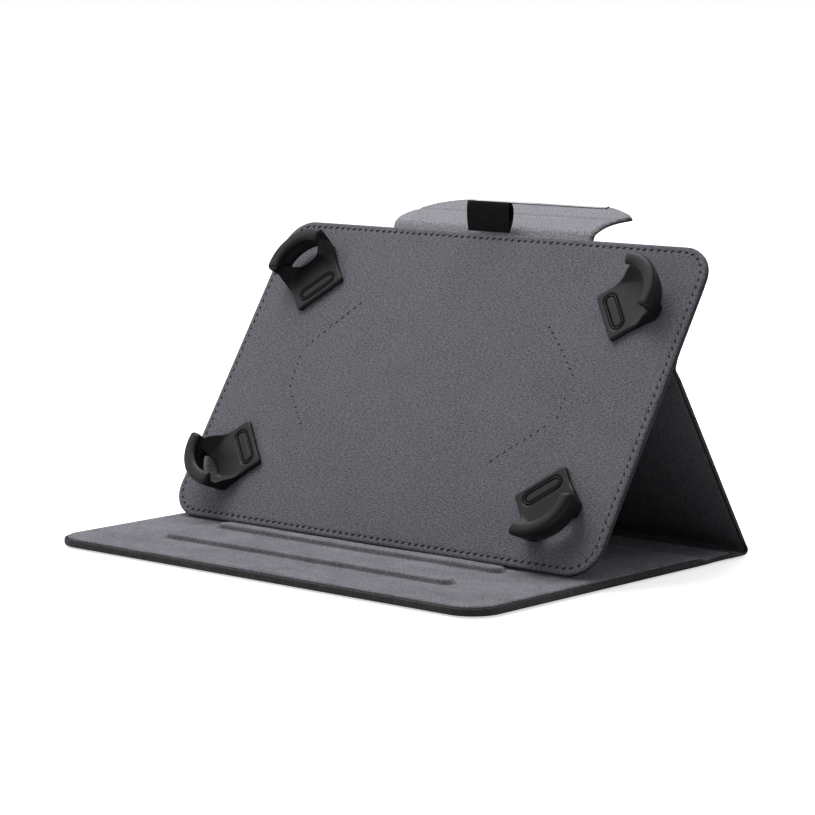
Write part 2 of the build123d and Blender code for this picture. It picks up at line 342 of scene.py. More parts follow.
def new_object(name, coords, faces):
    mesh = bpy.data.meshes.new(name)
    mesh.from_pydata([tuple(point) for point in coords], [], faces)
    made = bpy.data.objects.new(name, mesh)
    scene.collection.objects.link(made)
    return made


def make_object(name, coords, faces, place, material, wear_and_shade=0.0, uv=None, uv_shift=0.0,
                sharp=38.0, outwards=False):
    """Placed object in metres. UVs are in millimetres; wear fills the edge attribute: rubbed
    edges on leather, painted shade at edges and grooves on fabric, rubber and metal.
    """
    made = new_object(name, place(coords) * MM, faces)
    mesh = made.data
    mesh.validate()
    if uv is None:
        uv = np.column_stack([coords[:, 0] + 0.7 * coords[:, 2],
                              coords[:, 1] + 0.7 * coords[:, 2] + uv_shift])
    layer = mesh.uv_layers.new(name="UVMap")
    corners = np.zeros(len(mesh.loops), np.int32)
    mesh.loops.foreach_get("vertex_index", corners)
    layer.data.foreach_set("uv", uv[corners].astype(np.float32).ravel())
    attribute = mesh.attributes.new("edge", "FLOAT", "POINT")
    attribute.data.foreach_set("value", (np.zeros(len(coords)) + wear_and_shade).astype(np.float32))
    mesh.polygons.foreach_set("use_smooth", np.ones(len(mesh.polygons), bool))
    mesh.set_sharp_from_angle(angle=math.radians(sharp))
    mesh.materials.append(material)
    if outwards:
        face_outwards(mesh)
    return made


def edge_weight(distance, reach):
    """1 at the edge, falling to 0 at reach."""
    return np.clip(1.0 - distance / reach, 0, 1)


def join(parts):
    """Joins (points, faces) pairs into one."""
    all_coords, all_faces, first = [], [], 0
    for coords, faces in parts:
        all_coords.append(coords)
        all_faces += [[i + first for i in face] for face in faces]
        first += len(coords)
    return np.vstack(all_coords), all_faces


def puff(coords, faces, free, height):
    """Lift of each point when the pad is blown up as cloth with all but the free points
    pinned, scaled so that the tallest is height."""
    last_frame = 14
    pad = new_object("sim_pad", coords * MM, faces)
    mesh = pad.data
    pinned = pad.vertex_groups.new(name="pin")
    pinned.add([int(i) for i in np.where(~free)[0]], 1.0, "REPLACE")
    modifier = pad.modifiers.new("cloth", "CLOTH")
    cloth = modifier.settings
    cloth.quality = 4
    cloth.mass = 0.25
    cloth.tension_stiffness = 12.0
    cloth.compression_stiffness = 12.0
    cloth.shear_stiffness = 4.0
    cloth.bending_stiffness = 0.4
    cloth.use_pressure = True
    cloth.uniform_pressure_force = 4.0
    cloth.vertex_group_mass = "pin"
    cloth.effector_weights.gravity = 0.0
    modifier.point_cache.frame_start = 1
    modifier.point_cache.frame_end = last_frame
    for number in range(1, last_frame + 1):
        scene.frame_set(number)
    result = pad.evaluated_get(bpy.context.evaluated_depsgraph_get()).data
    blown = np.zeros(len(result.vertices) * 3)
    result.vertices.foreach_get("co", blown)
    lift = blown.reshape(-1, 3)[:, 2] / MM - coords[:, 2]
    bpy.data.objects.remove(pad)
    bpy.data.meshes.remove(mesh)
    scene.frame_set(1)
    lift = np.nan_to_num(np.where(free, lift, 0.0))
    tallest = np.percentile(np.abs(lift), 99.5)
    if tallest < 1e-6:
        return np.zeros(len(coords))
    return np.clip(lift / tallest, -1.0, 1.0) * height


# =====================================================================
# Materials
# =====================================================================


def add_node(tree, kind, inputs=None, **settings):
    """New shader node. inputs maps socket names or indices to values or to sockets."""
    node = tree.nodes.new("ShaderNode" + kind)
    for name, value in settings.items():
        setattr(node, name, value)
    for key, value in (inputs or {}).items():
        if isinstance(value, bpy.types.NodeSocket):
            tree.links.new(value, node.inputs[key])
        else:
            node.inputs[key].default_value = value
    return node


class Material:
    """A Principled material with short calls for its nodes. Each call returns a socket."""

    SOCKETS = {
        "color": "Base Color", "rough": "Roughness", "metallic": "Metallic", "normal": "Normal",
        "sheen": "Sheen Weight", "sheen_rough": "Sheen Roughness", "sheen_tint": "Sheen Tint",
        "specular": "Specular IOR Level", "anisotropy": "Anisotropic",
        "glow_color": "Emission Color", "glow": "Emission Strength",
    }

    def __init__(self, name):
        self.material = bpy.data.materials.new(name)
        self.material.use_nodes = True
        self.tree = self.material.node_tree
        self.tree.nodes.clear()
        output = self.node("OutputMaterial")
        self.shader = self.node("BsdfPrincipled")
        self.tree.links.new(self.shader.outputs[0], output.inputs[0])

    def node(self, kind, inputs=None, **settings):
        return add_node(self.tree, kind, inputs, **settings)

    def uv(self):
        return self.node("UVMap", uv_map="UVMap").outputs[0]

    def object_coords(self, scale=1000.0):
        """Object coordinates, in millimetres unless another scale is given."""
        return self.mapping(self.node("TexCoord").outputs["Object"], scale=(scale,) * 3)

    def mapping(self, coords, scale=(1, 1, 1), rotation=(0, 0, 0), location=(0, 0, 0)):
        return self.node("Mapping", {"Vector": coords, "Scale": scale, "Rotation": rotation,
                                     "Location": location}).outputs[0]

    def noise(self, coords, scale=1.0, detail=3.0, rough=0.6, distortion=0.0, stretch=None,
              rotation=(0, 0, 0), location=(0, 0, 0), output="Fac"):
        if stretch:
            coords = self.mapping(coords, stretch, rotation, location)
        return self.node("TexNoise", {
            "Vector": coords, "Scale": scale, "Detail": detail, "Roughness": rough,
            "Distortion": distortion}).outputs[output]

    def cells(self, coords, scale, feature="F1"):
        return self.node("TexVoronoi", {"Vector": coords, "Scale": scale},
                         feature=feature).outputs["Distance"]

    def bands(self, coords, scale, distortion, detail=2.0, detail_scale=1.0, axis="X",
              turn=None):
        if turn:
            coords = self.mapping(coords, rotation=(0, 0, turn))
        return self.node("TexWave", {
            "Vector": coords, "Scale": scale, "Distortion": distortion, "Detail": detail,
            "Detail Scale": detail_scale}, wave_type="BANDS", bands_direction=axis,
            wave_profile="SIN").outputs["Fac"]

    def math(self, operation, *values, clamp=False):
        return self.node("Math", dict(enumerate(values)), operation=operation,
                         use_clamp=clamp).outputs[0]

    def add(self, first, *others):
        for other in others:
            first = self.math("ADD", first, other)
        return first

    def times(self, value, factor, clamp=False):
        return self.math("MULTIPLY", value, factor, clamp=clamp)

    def gain(self, value, factor, offset):
        return self.math("MULTIPLY_ADD", value, factor, offset)

    def swing(self, value, width):
        """A 0 to 1 value spread over width and centred on zero."""
        return self.gain(value, factor=width, offset=-0.5 * width)

    def remap(self, value, target, source=(0.3, 0.7)):
        return self.node("MapRange", {
            "Value": value, "From Min": source[0], "From Max": source[1],
            "To Min": target[0], "To Max": target[1]}).outputs[0]

    def mix(self, share, first, second):
        return self.node("Mix", {0: share, 6: first, 7: second}, data_type="RGBA").outputs[2]

    def tinted(self, tone, strength):
        """The tone scaled by a texture."""
        return self.node("VectorMath", {0: tone, "Scale": strength},
                         operation="SCALE").outputs[0]

    def edge(self):
        return self.node("Attribute", attribute_name="edge").outputs["Fac"]

    def bump(self, height, strength, distance, under=None):
        """Bump over the normal 'under'. The distance is in metres."""
        inputs = {"Strength": strength, "Distance": distance, "Height": height}
        if under is not None:
            inputs["Normal"] = under
        return self.node("Bump", inputs).outputs[0]

    def finish(self, **values):
        for name, value in values.items():
            socket = self.shader.inputs[self.SOCKETS[name]]
            if isinstance(value, bpy.types.NodeSocket):
                self.tree.links.new(value, socket)
            else:
                socket.default_value = value
        return self.material


def suede(name, tone, sheen=0.10, angle=0.0, cloudiness=0.24):
    """Heathered brushed microfibre with a fine twill underneath. The angle is in radians."""
    mat = Material(name)
    coords = mat.mapping(mat.uv(), rotation=(0, 0, angle))
    # slow cloudy nap marks, hand-sized and thumb-sized
    cloud = mat.noise(coords, stretch=(0.030, 0.042, 0.04), rough=0.55, distortion=0.6)
    nap = mat.noise(coords, stretch=(0.11, 0.17, 0.14), detail=4.0, distortion=1.2)
    # heather: short two-tone fibres lying along both twill directions
    fibre_a = mat.noise(coords, stretch=(0.72, 1.7, 1.0), rotation=(0, 0, 0.75), rough=0.7,
                        distortion=0.3)
    fibre_b = mat.noise(coords, stretch=(0.78, 1.8, 1.0), rotation=(0, 0, -0.85),
                        location=(7, 3, 0), rough=0.65, distortion=0.3)
    grain = mat.noise(coords, scale=2.1, rough=0.75)
    twill = mat.bands(coords, scale=0.42, distortion=1.4, detail_scale=0.35, turn=0.78)
    # how far each texture moves the brightness
    layers = ((cloud, cloudiness), (nap, 1.3 * cloudiness), (fibre_a, 2.3), (fibre_b, 2.1),
              (grain, 2.6), (twill, 0.16))
    shade = mat.add(*(mat.swing(texture, width) for texture, width in layers))
    shade = mat.math("MAXIMUM", mat.add(mat.times(shade, 1.0), 1.0), 0.22)
    edge_shade = mat.math("MAXIMUM", mat.gain(mat.edge(), factor=-0.22, offset=1.0), 0.1)
    relief = mat.add(mat.times(fibre_a, 0.5), mat.times(fibre_b, 0.5), mat.times(grain, 0.35))
    fibres = mat.bump(relief, strength=0.55, distance=0.00022)
    return mat.finish(
        color=mat.tinted(tone, mat.times(shade, edge_shade)),
        rough=mat.remap(nap, target=(0.82, 0.97)),
        sheen=sheen, sheen_rough=0.45, sheen_tint=(0.86, 0.86, 0.95, 1.0), specular=0.22,
        normal=mat.bump(twill, strength=0.18, distance=0.00012, under=fibres))


def leather(name, tone=(0.0085, 0.0085, 0.0095)):
    """Black pebbled PU leather, paler and smoother where edges rub."""
    mat = Material(name)
    coords = mat.uv()
    jitter = mat.tinted(mat.noise(coords, scale=0.5, detail=2.0, rough=0.5, output="Color"), 0.9)
    warped = mat.node("VectorMath", {0: coords, 1: jitter}, operation="ADD").outputs[0]
    large_gaps = mat.cells(warped, scale=0.85, feature="DISTANCE_TO_EDGE")
    small_gaps = mat.cells(warped, scale=2.1, feature="DISTANCE_TO_EDGE")
    pebbles = mat.remap(large_gaps, source=(0.0, 0.32), target=(0.0, 1.0))
    small_pebbles = mat.remap(small_gaps, source=(0.0, 0.3), target=(0.0, 1.0))
    fine = mat.noise(coords, scale=6.0)
    broad = mat.noise(coords, stretch=(0.02, 0.03, 0.02), detail=4.0, distortion=0.8)
    patches = mat.noise(coords, stretch=(0.25, 0.25, 0.25), detail=5.0, rough=0.7,
                        distortion=0.5)
    worn = mat.times(mat.edge(), mat.remap(patches, source=(0.40, 0.72), target=(0.0, 1.0)),
                     clamp=True)
    shade = mat.add(mat.gain(broad, factor=0.7, offset=0.65), mat.times(pebbles, 0.22))
    rough = mat.add(mat.remap(pebbles, source=(0.0, 1.0), target=(0.62, 0.46)),
                    mat.gain(broad, factor=0.22, offset=-0.1))
    relief = mat.bump(pebbles, strength=0.55, distance=0.00022)
    relief = mat.bump(small_pebbles, strength=0.30, distance=0.00008, under=relief)
    return mat.finish(
        color=mat.mix(worn, mat.tinted(tone, shade), (0.026, 0.026, 0.026, 1.0)),
        rough=mat.math("SUBTRACT", rough, mat.times(worn, 0.08)), specular=0.30,
        normal=mat.bump(fine, strength=0.22, distance=0.00004, under=relief))


def rubber(name, tone=(0.0066, 0.0066, 0.0072)):
    """Satin moulded rubberised plastic with faint flow marks."""
    mat = Material(name)
    coords = mat.object_coords()
    broad = mat.noise(coords, stretch=(0.05, 0.05, 0.05), rough=0.5, distortion=0.5)
    flow = mat.noise(coords, stretch=(0.35, 0.12, 0.2), detail=4.0, distortion=1.0)
    micro = mat.noise(coords, scale=5.5, rough=0.65)
    scratches = mat.noise(coords, stretch=(0.8, 2.5, 1.4), rotation=(0.3, 0.2, 0.9), detail=5.0,
                          rough=0.75, distortion=0.6)
    scuffs = mat.remap(scratches, source=(0.60, 0.78), target=(0.0, 1.0))
    # painted shade: the clips' negative edge weight darkens the groove and the bead round the
    # strap anchor
    shade = mat.add(mat.gain(broad, factor=0.35, offset=0.82), mat.times(scuffs, 0.20),
                    mat.times(mat.edge(), 0.25))
    relief = mat.bump(micro, strength=0.30, distance=0.00003)
    return mat.finish(
        color=mat.tinted(tone, shade),
        rough=mat.add(mat.remap(flow, target=(0.42, 0.54)), mat.times(scuffs, 0.08)),
        specular=0.24, normal=mat.bump(broad, strength=0.25, distance=0.0003, under=relief))


def elastic(name, tone=(0.0035, 0.0035, 0.0038), use_uv=True):
    """Ribbed elastic webbing: knit yarns run across the ribs."""
    mat = Material(name)
    coords = mat.uv() if use_uv else mat.object_coords()
    one_per_mm, yarn_pitch = 0.314, 0.55
    rib = mat.bands(coords, scale=one_per_mm, distortion=0.15)
    yarn = mat.bands(coords, scale=one_per_mm / yarn_pitch, distortion=0.5, detail_scale=0.8,
                     axis="Y", turn=0.12)
    fuzz = mat.noise(coords, scale=3.5, detail=4.0, rough=0.7)
    broad = mat.noise(coords, stretch=(0.12, 0.12, 0.12))
    shade = mat.add(mat.times(rib, 0.55), mat.times(yarn, 0.35), mat.times(fuzz, 0.5),
                    mat.gain(broad, factor=0.3, offset=0.15))
    relief = mat.bump(yarn, strength=0.6, distance=0.00015)
    relief = mat.bump(rib, strength=0.5, distance=0.00025, under=relief)
    return mat.finish(
        color=mat.tinted(tone, shade), rough=mat.remap(fuzz, target=(0.72, 0.92)),
        sheen=0.02, sheen_rough=0.5, specular=0.12,
        normal=mat.bump(fuzz, strength=0.4, distance=0.00008, under=relief))


def thread(name, tone=(0.005, 0.005, 0.006)):
    """Twisted sewing thread."""
    mat = Material(name)
    coords = mat.uv()
    ply = mat.bands(coords, scale=0.55, distortion=0.2, detail=1.0, turn=0.6)
    fuzz = mat.noise(coords, scale=4.0)
    shade = mat.add(mat.gain(ply, factor=0.9, offset=0.5), mat.times(fuzz, 0.4))
    return mat.finish(
        color=mat.tinted(tone, shade), rough=mat.remap(fuzz, target=(0.55, 0.8)),
        sheen=0.2, specular=0.3, normal=mat.bump(ply, strength=0.6, distance=0.0001))


def metal(name, tone, rough):
    """Brushed strip: fine scratches along X, slight clouding, and painted shade where the edge
    weight is high.
    """
    mat = Material(name)
    coords = mat.object_coords()
    brushing = mat.noise(coords, stretch=(0.04, 9.0, 9.0), detail=4.0, rough=0.7)
    cloud = mat.noise(coords, stretch=(0.08, 0.2, 0.2), detail=4.0, distortion=0.5)
    edge = mat.edge()
    shade = mat.add(mat.gain(brushing, factor=0.18, offset=0.88), mat.swing(cloud, 0.12))
    shade = mat.times(shade, mat.gain(edge, factor=-0.93, offset=1.0), clamp=True)
    return mat.finish(
        color=mat.tinted(tone, shade),
        rough=mat.add(mat.remap(brushing, target=(rough, rough + 0.14)),
                      mat.times(cloud, 0.08), mat.times(edge, 0.1)),
        metallic=1.0, anisotropy=0.4,
        normal=mat.bump(brushing, strength=0.25, distance=0.00003))


def board(name, tone):
    """Grey-brown fibre board with flecks."""
    mat = Material(name)
    coords = mat.object_coords()
    flecks = mat.cells(mat.mapping(coords, scale=(0.7, 0.35, 0.7)), scale=1.0)
    fibres = mat.noise(coords, stretch=(0.6, 1.6, 1.0), detail=5.0, rough=0.7)
    broad = mat.noise(coords, stretch=(0.05, 0.05, 0.05))
    shade = mat.add(mat.gain(fibres, factor=0.7, offset=0.5),
                    mat.gain(broad, factor=0.3, offset=-0.1))
    dark = mat.remap(flecks, source=(0.0, 0.25), target=(0.25, 0.0))
    return mat.finish(
        color=mat.tinted(tone, mat.math("SUBTRACT", shade, dark)),
        rough=mat.remap(fibres, target=(0.75, 0.95)), specular=0.2,
        normal=mat.bump(fibres, strength=0.5, distance=0.00015))


def foam(name, tone=(0.13, 0.13, 0.14)):
    """Fine open-cell foam."""
    mat = Material(name)
    coords = mat.object_coords()
    pores = mat.cells(coords, scale=1.7)
    small_pores = mat.cells(coords, scale=3.6)
    broad = mat.noise(coords, stretch=(0.06, 0.06, 0.06))
    shade = mat.add(mat.remap(pores, source=(0.0, 0.55), target=(0.45, 1.1)),
                    mat.gain(broad, factor=0.3, offset=-0.1))
    relief = mat.bump(pores, strength=0.8, distance=0.0003)
    return mat.finish(
        color=mat.tinted(tone, shade), rough=mat.remap(broad, target=(0.85, 1.0)),
        sheen=0.1, specular=0.15,
        normal=mat.bump(small_pores, strength=0.4, distance=0.00012, under=relief))


# painted shade: a darker copy of the cover microsuede for the plate's face, which leans away
# from the overhead light
PLATE_SUEDE_PAINTED_SHADE = suede("plate_microsuede_painted_shade", tone=(0.124, 0.1215, 0.137))
COVER_SUEDE = suede("cover_microsuede", tone=(0.166, 0.164, 0.183), angle=0.3, cloudiness=0.75)
# painted shade: a darker copy of the cover microsuede for the shaded lining of the spine and
# leg, dark even where no shade falls
LEG_SUEDE_PAINTED_SHADE = suede("leg_microsuede_painted_shade", tone=(0.070, 0.069, 0.078), sheen=0.02, angle=0.3)
# painted light: a paler copy of the cover microsuede for the flap lining, which faces up into
# the light
FLAP_SUEDE_PAINTED_LIGHT = suede("flap_microsuede_painted_light", tone=(0.232, 0.230, 0.252), sheen=0.15, angle=0.8)
BACK_SUEDE = suede("plate_back_microsuede", tone=(0.145, 0.143, 0.162), angle=1.1)
LEATHER = leather("pebbled_leather")
CLIP_RUBBER = rubber("clip_rubberised_plastic")
ELASTIC = elastic("ribbed_elastic")
INNER_ELASTIC = elastic("ribbed_elastic_inner", use_uv=False)
THREAD = thread("stitch_thread")
BAR_METAL = metal("brushed_closure_metal", tone=(0.52, 0.52, 0.53), rough=0.30)
STEEL = metal("keeper_steel", tone=(0.42, 0.43, 0.45), rough=0.34)
FIBRE_BOARD = board("fibre_board", tone=(0.24, 0.19, 0.13))
PANEL_BOARD = board("panel_board", tone=(0.20, 0.17, 0.13))
FOAM = foam("thin_foam")

# CAD pieces that are kept as they are
CAD_MATERIALS = (
    (FIBRE_BOARD, ("base_stiffener_board", "plate_board", "flap_stiffener",
                   "flap_tip_stiffener")),
    (PANEL_BOARD, ("spine_board", "leg_board", "upper_back_board")),
    (FOAM, ("base_foam_pad", "plate_foam_layer")),
    (STEEL, ("closure_keeper_strip",)),
    (INNER_ELASTIC, ("elastic_strap_top_left", "elastic_strap_top_right",
                     "elastic_strap_bottom_left", "elastic_strap_bottom_right")),
)
for material, pieces in CAD_MATERIALS:
    for piece in pieces:
        slots = frame["nodes"][piece].data.materials
        slots.clear()
        slots.append(material)

# =====================================================================
# Leather cover
# =====================================================================
# Ring columns throughout: inset, height, 1 if the height is measured from the top profile

# turned leather edge round a board: underside, rolled edge with two soft beads, lip, floor
TRAY_RINGS = [
    (2.4, 0.0, 0), (1.2, 0.0, 0), (0.55, 0.10, 0), (0.18, 0.34, 0), (0.0, 0.78, 0),
    (0.02, -0.95, 1), (0.10, -0.42, 1), (0.34, -0.10, 1), (0.72, 0.0, 1), (1.10, -0.05, 1),
    (1.36, -0.30, 1), (1.40, -0.55, 1),
    (1.05, LEATHER_T + 0.25, 0), (1.6, LEATHER_T, 0), (2.8, LEATHER_T, 0),
]
BASE_RINGS = [
    (3.0, 0.0, 0), (1.5, 0.0, 0), (0.75, 0.12, 0), (0.28, 0.42, 0), (0.03, 0.95, 0),
    (0.0, 1.35, 0),
    (0.10, -1.35, 1), (0.15, -1.22, 1), (0.06, -1.08, 1), (0.05, -0.62, 1), (0.22, -0.20, 1),
    (0.60, 0.0, 1), (1.05, -0.04, 1), (1.40, -0.34, 1), (1.42, -0.7, 1),
    (1.10, LEATHER_T + 0.25, 0), (1.6, LEATHER_T, 0), (3.0, LEATHER_T, 0),
]

# outlines from (y, half width); the cover is split mid spine and partway up the leg
base_outline = strip_outline([
    (BASE_FRONT, CASE_W / 2), (70, CASE_W / 2), (77, CASE_W / 2 - 0.2),
    (83, SPINE_W / 2 + 0.05), (SPINE_MIDDLE, SPINE_W / 2)], start_radius=CORNER_R)
spine_outline = strip_outline([
    (SPINE_MIDDLE, SPINE_W / 2), (104, SPINE_W / 2), (110, SPINE_W / 2 - 0.15),
    (116, LEG_W / 2), (FOLD_B + LEG_SPLIT, LEG_W / 2)])


def upper_outline(end, radius):
    """Rest of the leg and the upper back panel, with y = 0 at the middle fold."""
    return strip_outline([
        (-LEG_REST, LEG_W / 2), (-6, LEG_W / 2), (0, LEG_W / 2 - 0.6), (5, UPPER_W / 2 + 0.1),
        (9, UPPER_W / 2), (end, UPPER_W / 2)], end_radius=radius)


BASE_FOLD_CUTS = cuts_about(FOLD_A, 9.0, 19) + [91, 93]
SPINE_CUTS = ([97, 99, 101, 103] + cuts_about(FOLD_B, 6.5, 27) + [118, 120, 122, 125, 129] +
              cuts_between(129, FOLD_B + LEG_SPLIT, 8))
MIDDLE_FOLD_CUTS = cuts_about(0.0, 7.0, 29)


def leather_skin(name, outline, rings, top, place, x_cuts, y_cuts, wear_reach=1.2, lift=None):
    coords, faces, margin = ring_solid(outline, rings, top, x_cuts, y_cuts)
    if lift:
        coords[:, 2] += lift(coords[:, 0], coords[:, 1])
    return make_object(name, coords, faces, place, LEATHER, edge_weight(margin, wear_reach))


cover_base = leather_skin(
    "cover_leather_base", base_outline, BASE_RINGS,
    top_profile([(-90, 3.25), (70.0, 3.25), (76.5, FOLD_T + 0.15), (83.5, FOLD_T + 0.15),
                 (88, 2.1), (96, 2.1)]),
    on_base, cuts_between(-124, 124, 9.0), cuts_between(-78, 70, 9.0) + BASE_FOLD_CUTS)
cover_spine = leather_skin(
    "cover_leather_spine", spine_outline, TRAY_RINGS,
    top_profile([(90, 2.1), (98.5, 2.1), (103.5, 1.42), (116.5, 1.42), (122, 2.1), (170, 2.1)]),
    on_spine, cuts_between(-124, 124, 9.0), SPINE_CUTS)
cover_upper = leather_skin(
    "cover_leather_upper", upper_outline(54.0, CORNER_R), TRAY_RINGS,
    top_profile([(-60, 2.1), (-9, 2.1), (-4, FOLD_T), (4, FOLD_T), (9, 2.05), (60, 2.05)]),
    on_upper, cuts_between(-123, 123, 9.0),
    cuts_between(-LEG_REST, -9, 8) + MIDDLE_FOLD_CUTS + cuts_between(9, 53, 8))

# =====================================================================
# Base lining, formed over two stiff strips that run across it
# =====================================================================
RIDGE_PLACES = (-46.0, -13.0)
RIDGE_HALF, RIDGE_R = 84.0, 4.0
BASE_LINING_RINGS = [
    (2.6, 1.2, 0), (1.9, 1.2, 0), (1.75, 1.3, 0),
    (1.62, -1.15, 1), (1.52, -0.80, 1), (1.62, -0.50, 1), (1.95, -0.26, 1), (2.6, -0.10, 1),
    (4.0, -0.02, 1), (6.0, 0.0, 1),
]
# cuts close together where the ridge sides are steep: half distances from a ridge's centre
# line, and x near its ends
RIDGE_OFFSETS = [1.2, 2.4, 2.9, 3.3, 3.7, 4.1, 4.6, 5.0, 5.6, 6.8, 8.5]
RIDGE_END_XS = (79.0, 80.0, 81.2, 82.4, 83.2, 84.0, 84.8, 86.0, 88.5)


def ridge_distance(x, y, ridge_y):
    """Distance from the centre line of a ridge."""
    past_end = np.maximum(np.abs(x) - (RIDGE_HALF - RIDGE_R), 0.0)
    return np.hypot(past_end, y - ridge_y)


def ridge_lift(x, y):
    """Rise over each strip, with a shallow dip round its foot."""
    out = np.zeros_like(x)
    for ridge_y in RIDGE_PLACES:
        distance = ridge_distance(x, y, ridge_y)
        body = 1.0 - smoothstep((distance - 3.2) / (4.5 - 3.2))
        crown = 0.10 * (1 - np.clip(distance / RIDGE_R, 0, 1) ** 2)
        dip = smoothstep((distance - 4.2) / 0.8) * (1 - smoothstep((distance - 5.4) / 3.5))
        out = np.maximum(out, body * (1.95 + crown) - 0.22 * dip)
    return out


def base_lining():
    top = top_profile([(-90, 4.15), (69.0, 4.15), (76.5, FOLD_T + 0.30), (83.5, FOLD_T + 0.30),
                       (89, 2.6), (96, 2.6)])
    x_cuts = [x for x in cuts_between(-123, 123, 5.0) if abs(abs(x) - 83) > 6.0]
    x_cuts += [side * x for side in (-1, 1) for x in RIDGE_END_XS]
    y_cuts = [y for y in cuts_between(-78, 70, 5.0)
              if all(abs(y - ridge_y) > 8.9 for ridge_y in RIDGE_PLACES)]
    offsets = [-offset for offset in reversed(RIDGE_OFFSETS)] + [0] + RIDGE_OFFSETS
    y_cuts += [ridge_y + offset for ridge_y in RIDGE_PLACES for offset in offsets]
    coords, faces, margin = ring_solid(base_outline, BASE_LINING_RINGS, top, x_cuts,
                                       y_cuts + BASE_FOLD_CUTS)
    x, y, z = coords.T
    on_top = z > top(y) - 0.03
    free = on_top & (margin > 6.5) & (y < 66)
    for ridge_y in RIDGE_PLACES:
        free &= ~((np.abs(y - ridge_y) < 5.6) & (np.abs(x) < RIDGE_HALF + 2))
    z += puff(coords, faces, free, height=0.30)
    fade = smoothstep((margin - 3.0) / 8.0) * (1 - smoothstep((y - 60) / 10)) * on_top
    z += fade * (0.16 * waves(x, y, seed=11, wavelength=55.0) +
                 0.05 * waves(x, y, seed=12, wavelength=17.0))
    z += np.where(on_top, ridge_lift(x, y), 0.0)
    # painted shadow along the foot of each strip, strongest on the side facing the front
    shade = np.zeros(len(coords))
    for ridge_y in RIDGE_PLACES:
        foot = np.exp(-((ridge_distance(x, y, ridge_y) - 4.1) / 0.75) ** 2)
        side = np.where(y < ridge_y, 1.0, 0.30)
        shade = np.maximum(shade, on_top * side * 2.3 * foot)
    return make_object("base_lining_microsuede", coords, faces, on_base, COVER_SUEDE,
                       edge_weight(margin - 1.5, 1.4) + shade, sharp=60)


lining_base = base_lining()

# =====================================================================
# Spine and leg linings
# =====================================================================
LINING_RINGS = [
    (2.6, 0.95, 0), (1.75, 0.95, 0), (1.60, 1.0, 0),
    (1.50, -0.55, 1), (1.55, -0.32, 1), (1.85, -0.12, 1), (2.5, -0.03, 1), (3.6, 0.0, 1),
]


def leg_lining(name, outline, top, place, x_cuts, y_cuts, clearance, wave_shift=0.0,
               uv_shift=0.0):
    """Lining that undulates away from its fold; clearance(y) is the distance clear of it."""
    coords, faces, margin = ring_solid(outline, LINING_RINGS, top, x_cuts, y_cuts)
    x, y, z = coords.T
    on_top = z > top(y) - 0.02
    fade = on_top * smoothstep((margin - 3) / 8) * smoothstep(clearance(y) / 10)
    z += fade * 0.12 * waves(x, y + wave_shift, seed=21, wavelength=50.0)
    return make_object(name, coords, faces, place, LEG_SUEDE_PAINTED_SHADE, edge_weight(margin - 1.5, 1.4),
                       uv_shift=uv_shift, sharp=60)


lining_spine = leg_lining(
    "spine_lining_microsuede", spine_outline,
    top_profile([(90, 2.6), (98.0, 2.6), (103.6, 1.58), (115.5, 1.58), (121, 2.25), (128, 2.42),
                 (150, 2.45), (160, 2.6), (170, 2.6)]),
    on_spine, cuts_between(-123, 123, 6.0), SPINE_CUTS,
    clearance=lambda y: np.abs(y - FOLD_B) - 12)
lining_upper = leg_lining(
    "leg_lining_microsuede", upper_outline(53.2, CORNER_R - 0.8),
    top_profile([(-60, 2.6), (-10, 2.6), (-4, FOLD_T + 0.3), (3.5, FOLD_T + 0.3), (8, 2.55),
                 (60, 2.55)]),
    on_upper, cuts_between(-122, 122, 6.0),
    cuts_between(-LEG_REST, -9, 6) + MIDDLE_FOLD_CUTS + cuts_between(9, 52, 8),
    clearance=lambda y: -y - 10, wave_shift=200, uv_shift=FOLD_B + LEG_LEN)

# =====================================================================
# Tablet plate: padded front wrapped round the edge, plain back
# =====================================================================
# x and y of each clip's heel on the plate, and the direction it points
CLIP_PLACES = {
    "top_left": (-85.6, 117.4, 133.5),
    "top_right": (82.3, 118.2, 38.5),
    "bottom_left": (-88.2, 40.0, 221.5),
    "bottom_right": (82.2, 39.6, -50.0),
}
SLIT_Y = 6.0            # strap slit, from the clip's heel
SEAM_IN = 2.8           # border seam, in from the plate's edge
PLATE_RINGS = [
    (2.0, 2.50, 0), (0.85, 2.46, 0), (0.70, 2.2, 0), (0.70, 0.55, 0), (0.74, 0.36, 0),
    (0.40, 0.18, 0), (0.12, 0.30, 0), (0.0, 0.62, 0), (-0.02, 1.2, 0), (0.0, 2.05, 0),
    (0.10, 2.48, 0), (0.32, 2.80, 0), (0.75, 3.00, 0), (1.5, 3.09, 0), (2.6, 3.10, 0),
]
PLATE_BACK_RINGS = [
    (3.0, 0.0, 0), (1.2, 0.01, 0), (0.35, 0.09, 0), (0.03, 0.22, 0), (0.0, 0.34, 0),
    (0.3, 0.40, 0), (2.0, 0.40, 0),
]
BACK_INSET = 0.7
EDGE_CUTS = (2.65, 2.8, 2.95, 3.3, 3.8, 4.6, 5.8)   # distances in from the edge
# sewn lines inside the border, as (x, y) points
INNER_SEAMS = [
    [(-60.7, 116.0), (-82.8, 91.6)], [(-84.4, 85.6), (-82.6, 70.5)],
    [(-78.6, 65.2), (-64.5, 49.8)], [(53.5, 112.9), (63.5, 104.1), (76.1, 91.1)],
    [(76.8, 79.5), (76.7, 70.6)], [(72.0, 65.3), (50.5, 46.4)],
]


def inside_plate(x, y):
    """Distance inside the plate's rounded outline."""
    past_x = np.abs(x) - (PLATE_W / 2 - CORNER_R)
    past_y = np.abs(y - PLATE_H / 2) - (PLATE_H / 2 - CORNER_R)
    corner = np.hypot(np.maximum(past_x, 0), np.maximum(past_y, 0))
    return CORNER_R - (corner + np.minimum(np.maximum(past_x, past_y), 0))


